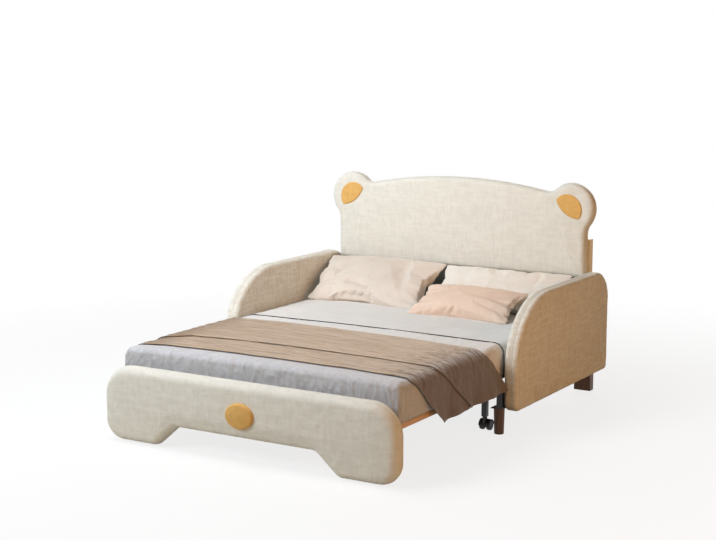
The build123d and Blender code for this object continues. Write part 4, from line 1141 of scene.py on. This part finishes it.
class BED_OT_throw(bpy.types.Operator):
    """Lay the throw, folded double, across the front mattress with its hanging ends"""
    bl_idname = "bed.throw"
    bl_label = "Throw"

    def section(self):
        """Run across the mattress, in front view, that the sheet follows, and the run's normals.

        It is the upper part of the mattress's cross-section, ordered from left to right by the
        angle round a place inside it, with a straight drop at each end.
        """
        points, normals = mattress_outline()
        level = MATTRESS_SPINE[1]
        upper = points[:, 1] > level
        order = np.argsort(np.arctan2(points[upper, 0], points[upper, 1] - 0.30))
        path, lean = points[upper][order], normals[upper][order]
        drops = []
        for at, end, count in ((0, THROW_END_LEFT, 12), (-1, THROW_END_RIGHT, 20)):
            down = level - np.linspace((level - end) / count, level - end, count)
            drops.append(np.column_stack([np.full(count, path[at, 0]), down]))
        path = np.concatenate([drops[0][::-1], path, drops[1]])
        sides = [np.tile([sign, 0.0], (len(drop), 1)) for sign, drop in zip((-1.0, 1.0), drops)]
        return even(path, np.concatenate([sides[0], lean, sides[1]]), THROW_PLACES)

    def execute(self, context):
        """The throw is one sheet. Its rows run across the bed and its columns along it.

        A column's place runs from the lower front edge back to the fold behind and forward again
        on top. A row follows the mattress's cross-section, lifted off it along its normals, and
        below the widest place it hangs straight down.
        """
        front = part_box("front_mattress")[0].y
        path, lean = self.section()
        x, z = path.T
        length = run_lengths(path)
        beside = rising(x, 0.745, 0.027)

        def edge(across, hang):
            on_top = np.interp(x, THROW_ACROSS, across)
            down = np.interp(-z, [-v for v in THROW_DOWN], hang)
            return front + on_top * (1 - beside) + down * beside

        lower = edge(THROW_LOWER_EDGE, THROW_LOWER_HANG)
        middle = edge(THROW_UPPER_EDGE, THROW_UPPER_HANG)
        rear = edge(THROW_REAR_EDGE, THROW_REAR_HANG)
        turn = THROW_LAYER / 2
        out = np.concatenate([np.linspace(0, 0.34, 46), np.linspace(0.36, 0.94, 14), np.linspace(0.955, 1, 6)])
        out = out[:, None]
        fold = np.linspace(-80, 80, 9)[:, None]
        home = np.linspace(1, 0, 92)[:, None]
        bow = turn * np.stack([np.cos(np.radians(fold)), np.sin(np.radians(fold))])
        y = np.concatenate([lower + (rear - lower) * out, rear + 1.5 * bow[0], middle + (rear - middle) * home])
        lift = THROW_LIFT + np.concatenate([0 * out, turn + bow[1], 2 * turn + 0 * home])
        upper_run = THROW_RUN - 1 - THROW_FOLD_RUN
        folded = 1 + THROW_FOLD_RUN * (fold + 80) / 160
        v = np.concatenate([out, folded, 1 + THROW_FOLD_RUN + upper_run * (1 - home)])
        y += 0.0030 * waves(np.outer(length, (1, 0, 0)), 0.12, 7, 91) * (1 - (y - lower) / (rear - lower))
        everywhere = np.ones_like(y)
        place = np.stack([x * everywhere, y, z * everywhere], -1)
        back = y - front

        # Creases, calmer where it hangs and pulled at the right shoulder, and rolled edges
        cloth = np.stack([length * everywhere, back, 0 * y], -1)
        over = np.arange(len(y))[:, None] >= len(out) + 4
        long = creases(cloth + over[..., None] * np.array([0.3, 0.2, 0.0]), 0.060, 9, 61, stretch=(6.0, 1.0, 1.0))
        fine = creases(cloth, 0.035, 9, 71, stretch=(3.0, 1.0, 1.0))
        pull = creases(cloth, 0.05, 7, 81, stretch=(2.2, 0.8, 1.0))
        corner = length[np.argmin(np.abs(x - 0.70) + (z < 0.40))]
        shoulder = np.exp(-(((length - corner) / 0.16) ** 2))
        calm = 1 - 0.55 * rising(z, THROW_HANGS_BELOW, -0.08)
        raised = sizes().throw_crease * ((0.50 * long + 0.18 * fine) * calm + 0.8 * pull * shoulder)
        start = np.where(over, middle, lower)
        taper = rising(np.minimum(y - start, rear - y), 0, 0.05)
        hem = np.where(over, 0.0013, 0.0006) * np.exp(-(((y - start) / 0.011) ** 2))
        under = ~over & (y >= middle)
        lift = np.where(under, THROW_LIFT, lift + raised * (0.25 + 0.75 * taper) + hem)

        # Hanging ends, which flare outwards, ripple, and rise at the hem towards the rear
        hanging = rising(z, THROW_HANGS_BELOW, -0.20)
        right = (x > 0) * 1.0
        phase = 2 * np.pi * back / THROW_DEPTH
        ripple = np.sin(2.3 * phase + 0.9) + 0.45 * np.sin(5.1 * phase)
        flare = 0.014 + 0.036 * rising(back, 0.38, 0.57) ** 1.5 + 0.0075 * ripple * (0.35 + 0.65 * hanging)
        flare = hanging * (right * flare + (1 - right) * (0.002 + 0.003 * ripple))
        place[..., 0] += lean[:, 0] * lift + np.where(x > 0, 1, -1) * np.maximum(flare, 0)
        place[..., 1] += right * hanging * 0.003 * np.sin(1.1 * phase + 0.4)
        place[..., 2] += lean[:, 1] * lift + right * hanging**2 * 0.036 * rising(back, 0.384, 0.566) ** 0.55
        place[..., 2] += (1 - right) * hanging * 0.004 * np.sin(9 * y)
        uv = np.stack([length * everywhere, v * everywhere], -1)
        piece = new_piece("throw_cloth", place, lattice(*y.shape, False), finish("throw_wool"), uv=uv, weld=0)
        changed(piece, "SOLIDIFY", thickness=sizes().throw_thickness, offset=0.0)
        declared(piece, "pullout", ["throw"], keep=THROW_KEEP)
        return {"FINISHED"}


# ---------------------------------------------------------------- soft covers

def settled(piece, voxel, pressure, cap, spare, frames=20):
    """Fills a closed cover with cloth simulation.

    The cover is remeshed evenly, made larger than its shape by the spare share, and swells under
    pressure. Each point then keeps to within the cap of where it began.
    """
    scene = bpy.context.scene
    changed(piece, "REMESH", mode="VOXEL", voxel_size=voxel)
    start = np.empty(len(piece.data.vertices) * 3, np.float32)
    piece.data.vertices.foreach_get("co", start)
    cloth = piece.modifiers.new("cover", "CLOTH")
    for key, value in {
        "quality": 6, "mass": 0.2, "bending_stiffness": 0.08, "use_pressure": True,
        "uniform_pressure_force": pressure, "shrink_min": -spare,
    }.items():
        setattr(cloth.settings, key, value)
    cloth.settings.effector_weights.gravity = 0
    cloth.point_cache.frame_start, cloth.point_cache.frame_end = 1, frames
    for number in range(1, frames + 1):
        scene.frame_set(number)
    evaluated = piece.evaluated_get(bpy.context.evaluated_depsgraph_get())
    end = np.empty_like(start)
    evaluated.data.vertices.foreach_get("co", end)
    piece.modifiers.remove(cloth)
    scene.frame_set(1)
    start, move = start.reshape(-1, 3), (end - start).reshape(-1, 3)
    far = np.linalg.norm(move, axis=1, keepdims=True)
    move *= np.minimum(1, cap / np.maximum(far, 1e-9))
    piece.data.vertices.foreach_set("co", (start + move).ravel())
    piece.data.update()
    piece.data.shade_smooth()
    smooth = piece.modifiers.new("smooth", "SUBSURF")
    smooth.levels = smooth.render_levels = 1


# ---------------------------------------------------------------- pillows

def pillow_grid(width, height, thick, tuck, count=72):
    """Closed pillow about the origin, flat in X and Y, thick in Z.

    For two parameters from -1 to 1 the outline is a rectangle whose sides draw in by the tuck
    times the cosine of the way along them. The height above the seam is half the thickness times
    the product of one minus each parameter's square, raised to a power below one.
    """
    t = np.sin(np.linspace(-1, 1, count) * np.pi / 2)
    u, v = np.meshgrid(t, t, indexing="ij")
    x = width / 2 * u - np.sign(u) * np.abs(u) ** 3 * tuck * np.cos(np.pi / 2 * v) ** 0.8
    y = height / 2 * v - np.sign(v) * np.abs(v) ** 3 * tuck * np.cos(np.pi / 2 * u) ** 0.8
    rise = thick / 2 * (np.clip(1 - u**2, 0, 1) * np.clip(1 - v**2, 0, 1)) ** 0.55
    return u, v, x, y, rise


def end_folds(u, v, rows):
    """Depth of the folds that run in from a pillow's ends, as a share of their greatest depth.

    A row is the end's sign, the place along it, the slope, the reach inwards and the width at the
    end. Across a fold the depth falls off as a Gaussian, and it fades evenly over the reach.
    """
    depth = np.zeros_like(u)
    for end, place, slope, reach, width in rows:
        inward = 1 - end * u
        fade = np.clip(1 - inward / reach, 0, 1)
        across = (v - place - slope * inward) / (width * (0.35 + 0.65 * fade))
        depth = np.maximum(depth, fade**0.7 * np.exp(-(across**2)))
    return depth


class BED_OT_pillows(bpy.types.Operator):
    """Lean two large pillows on the headboard with a small one in front"""
    bl_idname = "bed.pillows"
    bl_label = "Pillows"

    def execute(self, context):
        """Each row holds a pillow's finish, middle, width, height, thickness, drawn-in sides, how
        far its lower left corner is drawn in, tilt, distance from the low panel, top, seed, depth
        of its folds and its folds.
        """
        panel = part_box("low_back_panel")[0].y
        for node, slot, x, width, height, thick, tuck, pinch, tilt, setback, top, seed, deep, folds in (
            ("left_pillow", "beige_cotton", -0.412, 0.748, 0.430, 0.124, 0.020, 0.050, 29.5, 0.074, 0.650, 101, 0.42,
             ((1, 0.62, -0.75, 0.50, 0.16), (1, 0.12, 0.35, 0.62, 0.17), (1, -0.38, 0.10, 0.40, 0.14),
              (1, -0.80, 0.25, 0.55, 0.13), (-1, 0.40, -0.5, 0.42, 0.20), (-1, -0.45, 0.45, 0.55, 0.20))),
            ("right_pillow", "cream_cotton", 0.348, 0.748, 0.310, 0.114, 0.020, 0.0, 42.0, 0.074, 0.650, 111, 0.42,
             ((1, 0.55, -0.6, 0.40, 0.20), (1, -0.30, 0.3, 0.45, 0.20), (-1, 0.30, -0.4, 0.35, 0.18),
              (-1, -0.50, 0.4, 0.40, 0.20))),
            ("small_pillow", "peach_cotton", 0.272, 0.584, 0.314, 0.094, 0.022, 0.0, 23.0, 0.286, 0.567, 121, 0.66,
             ((1, 0.42, -0.55, 0.80, 0.30), (1, -0.05, 0.15, 0.95, 0.20), (1, -0.60, 0.35, 0.70, 0.20),
              (-1, 0.45, -0.35, 0.45, 0.15), (-1, 0.05, 0.25, 0.62, 0.14), (-1, -0.35, -0.15, 0.50, 0.12),
              (-1, -0.75, 0.30, 0.60, 0.14))),
        ):
            lean = np.radians(tilt)
            centre = np.array([x, panel - setback - height / 2 * np.cos(lean), top - height / 2 * np.sin(lean)])
            self.pillow(node, slot, centre, (width, height, thick, tuck), pinch, lean, seed, deep, folds)
        return {"FINISHED"}

    def pillow(self, node, slot, centre, form, pinch, lean, seed, deep, folds):
        """Two creased and pleated shells that meet at the seam, leant back about X and placed."""
        u, v, x, y, rise = pillow_grid(*form)
        x = x + pinch * np.clip(-u, 0, 1) ** 2 * np.clip(-v, 0, 1)
        flat = np.stack([x, y, np.zeros_like(x)], -1)
        gather = rising(np.maximum(np.abs(u), np.abs(v)), 0.55, 0.45)
        pleats = 0.5 + 0.5 * np.sin(np.arctan2(v, u) * PLEATS + 2.5 * waves(flat, 0.2, 5, seed + 3))
        pleats = PLEAT_DEPTH * gather * pleats * np.clip(rise / PLEAT_FADE, 0, 1)
        fold = end_folds(u, v, folds)
        shells = []
        for sign in (1, -1):
            crease = creases(flat + sign * 0.1, 0.09, 8, seed, stretch=(1.3, 1.3, 1))
            depth = rise * (1 + 0.10 * crease - deep * fold) - pleats
            shells.append(np.stack([x, y, sign * np.maximum(depth, 0)], -1))
        points = np.stack(shells)
        up = np.array([0, np.cos(lean), np.sin(lean)])
        out = np.array([0, -np.sin(lean), np.cos(lean)])
        placed = centre + points[..., :1] * np.array([1.0, 0, 0]) + points[..., 1:2] * up + points[..., 2:] * out
        placed[..., 2] = np.maximum(placed[..., 2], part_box(node)[0].z)
        n = len(u)
        quads = lattice(n, n, False)
        faces = np.concatenate([quads, quads[:, ::-1] + n * n])
        piece = new_piece(node.replace("pillow", "cushion"), placed, faces, finish(slot), weld=1e-5)
        settled(piece, voxel=0.0065, pressure=1.5, cap=0.016, spare=0.11)
        declared(piece, "bed_base", [node])


# ---------------------------------------------------------------- carried-over nodes

class BED_OT_frame(bpy.types.Operator):
    """Give the frame's boards, beams, legs, casters and bolts their finishes"""
    bl_idname = "bed.frame"
    bl_label = "Frame finishes"

    def execute(self, context):
        grain = {"pullout_front_beam": "X", "fixed_slat": "Y", "pullout_slat": "Y", "pullout_rail": "Y"}
        for row in frame["record"]["subparts"]:
            name = row["node"]
            node = frame["nodes"][name]
            along = next((axis for start, axis in grain.items() if name.startswith(start)), "Z")
            material = finish(row["material_slot"], along, "post" if name.startswith("headboard_post") else "")
            if not node.material_slots:
                node.data.materials.append(material)
            for slot in node.material_slots:
                slot.material = material
        return {"FINISHED"}


# ---------------------------------------------------------------- stage

def placed_object(name, data, place, facing):
    """Object at a place whose own -Z points along a direction, with its top up."""
    thing = bpy.data.objects.new(name, data)
    bpy.context.scene.collection.objects.link(thing)
    thing.location = place
    thing.rotation_euler = facing.to_track_quat("-Z", "Y").to_euler()
    return thing


class BED_OT_stage(bpy.types.Operator):
    """Set the floor, the lamps, the world and the camera"""
    bl_idname = "bed.stage"
    bl_label = "Studio"

    def execute(self, context):
        self.floor()
        self.world()
        for name, place, goal, size, power, colour in LAMPS:
            data = bpy.data.lights.new(name, "AREA")
            data.shape, data.size, data.energy, data.color = "DISK", size, power, colour
            placed_object(name, data, place, Vector(goal) - Vector(place))
        self.camera()
        context.scene.view_settings.view_transform = "Standard"
        return {"FINISHED"}

    def floor(self):
        """Plain floor that the camera sees as white.

        Its glow grows with the distance from the bed, so the bed's soft shadow stays near it.
        """
        corners = FLOOR_REACH * np.array([(-1, -1, 0), (1, -1, 0), (1, 1, 0), (-1, 1, 0)])
        f = Finish("floor_white", roughness=0.95)
        shown = f.shown()
        f.blend(shown, *FLOOR_COLOURS)
        far = f.add("VectorMath", {0: f.place}, operation="LENGTH").outputs["Value"]
        share = f.maths("MULTIPLY", shown, f.add("MapRange", {"Value": far, **FLOOR_GLOW}).outputs[0])
        f.output("Material Output", share, f.surface.outputs[0], f.add("Emission", WHITE).outputs[0])
        new_piece("floor", corners, [[0, 1, 2, 3]], f.material, weld=0)

    def world(self):
        """Warm, weak light from all round, in front of white for the rays that show it."""
        world = bpy.data.worlds.new("studio")
        bpy.context.scene.world = world
        world.use_nodes = True
        w = Nodes(world.node_tree)
        soft = w.tree.nodes["Background"]
        w.set(soft, WORLD_LIGHT)
        w.output("World Output", w.shown(), soft.outputs[0], w.add("Background", WHITE).outputs[0])

    def camera(self):
        """The camera stands at the photograph's place and looks along its azimuth and pitch."""
        turn, pitch = np.radians(CAMERA_TURN), np.radians(CAMERA_PITCH)
        back = Vector((np.sin(turn) * np.cos(pitch), -np.cos(turn) * np.cos(pitch), np.sin(pitch)))
        data = bpy.data.cameras.new("camera")
        data.sensor_width = SENSOR_WIDTH
        data.lens = CAMERA_FOCUS / PICTURE_WIDTH * SENSOR_WIDTH
        data.clip_end = 100.0
        bpy.context.scene.camera = placed_object("camera", data, CAMERA_PLACE, -back)


OPERATORS = (
    BED_OT_headboard, BED_OT_footboard, BED_OT_arms, BED_OT_mattress, BED_OT_throw, BED_OT_pillows,
    BED_OT_frame, BED_OT_stage,
)


class VIEW3D_PT_bed(bpy.types.Panel):
    """Sizes, colours and pieces of the bed"""
    bl_label = "Bed"
    bl_idname = "VIEW3D_PT_bed"
    bl_space_type = "VIEW_3D"
    bl_region_type = "UI"
    bl_category = "Bed"

    def draw(self, context):
        for settings in (context.scene.bed_sizes, context.scene.bed_colours):
            box = self.layout.box()
            for name in settings.__annotations__:
                box.prop(settings, name)
        for operator in OPERATORS:
            self.layout.operator(operator.bl_idname)


CLASSES = (BedColours, BedSizes, *OPERATORS, VIEW3D_PT_bed)


def register():
    for cls in CLASSES:
        bpy.utils.register_class(cls)
    bpy.types.Scene.bed_colours = PointerProperty(type=BedColours)
    bpy.types.Scene.bed_sizes = PointerProperty(type=BedSizes)


def unregister():
    del bpy.types.Scene.bed_sizes
    del bpy.types.Scene.bed_colours
    for cls in reversed(CLASSES):
        bpy.utils.unregister_class(cls)


def plain(box):
    """A box as plain lists of numbers."""
    return [[float(v) for v in corner] for corner in box]


def main():
    register()
    for operator in OPERATORS:
        group, name = operator.bl_idname.split(".")
        getattr(getattr(bpy.ops, group), name)()


if __name__ == "__main__":
    main()
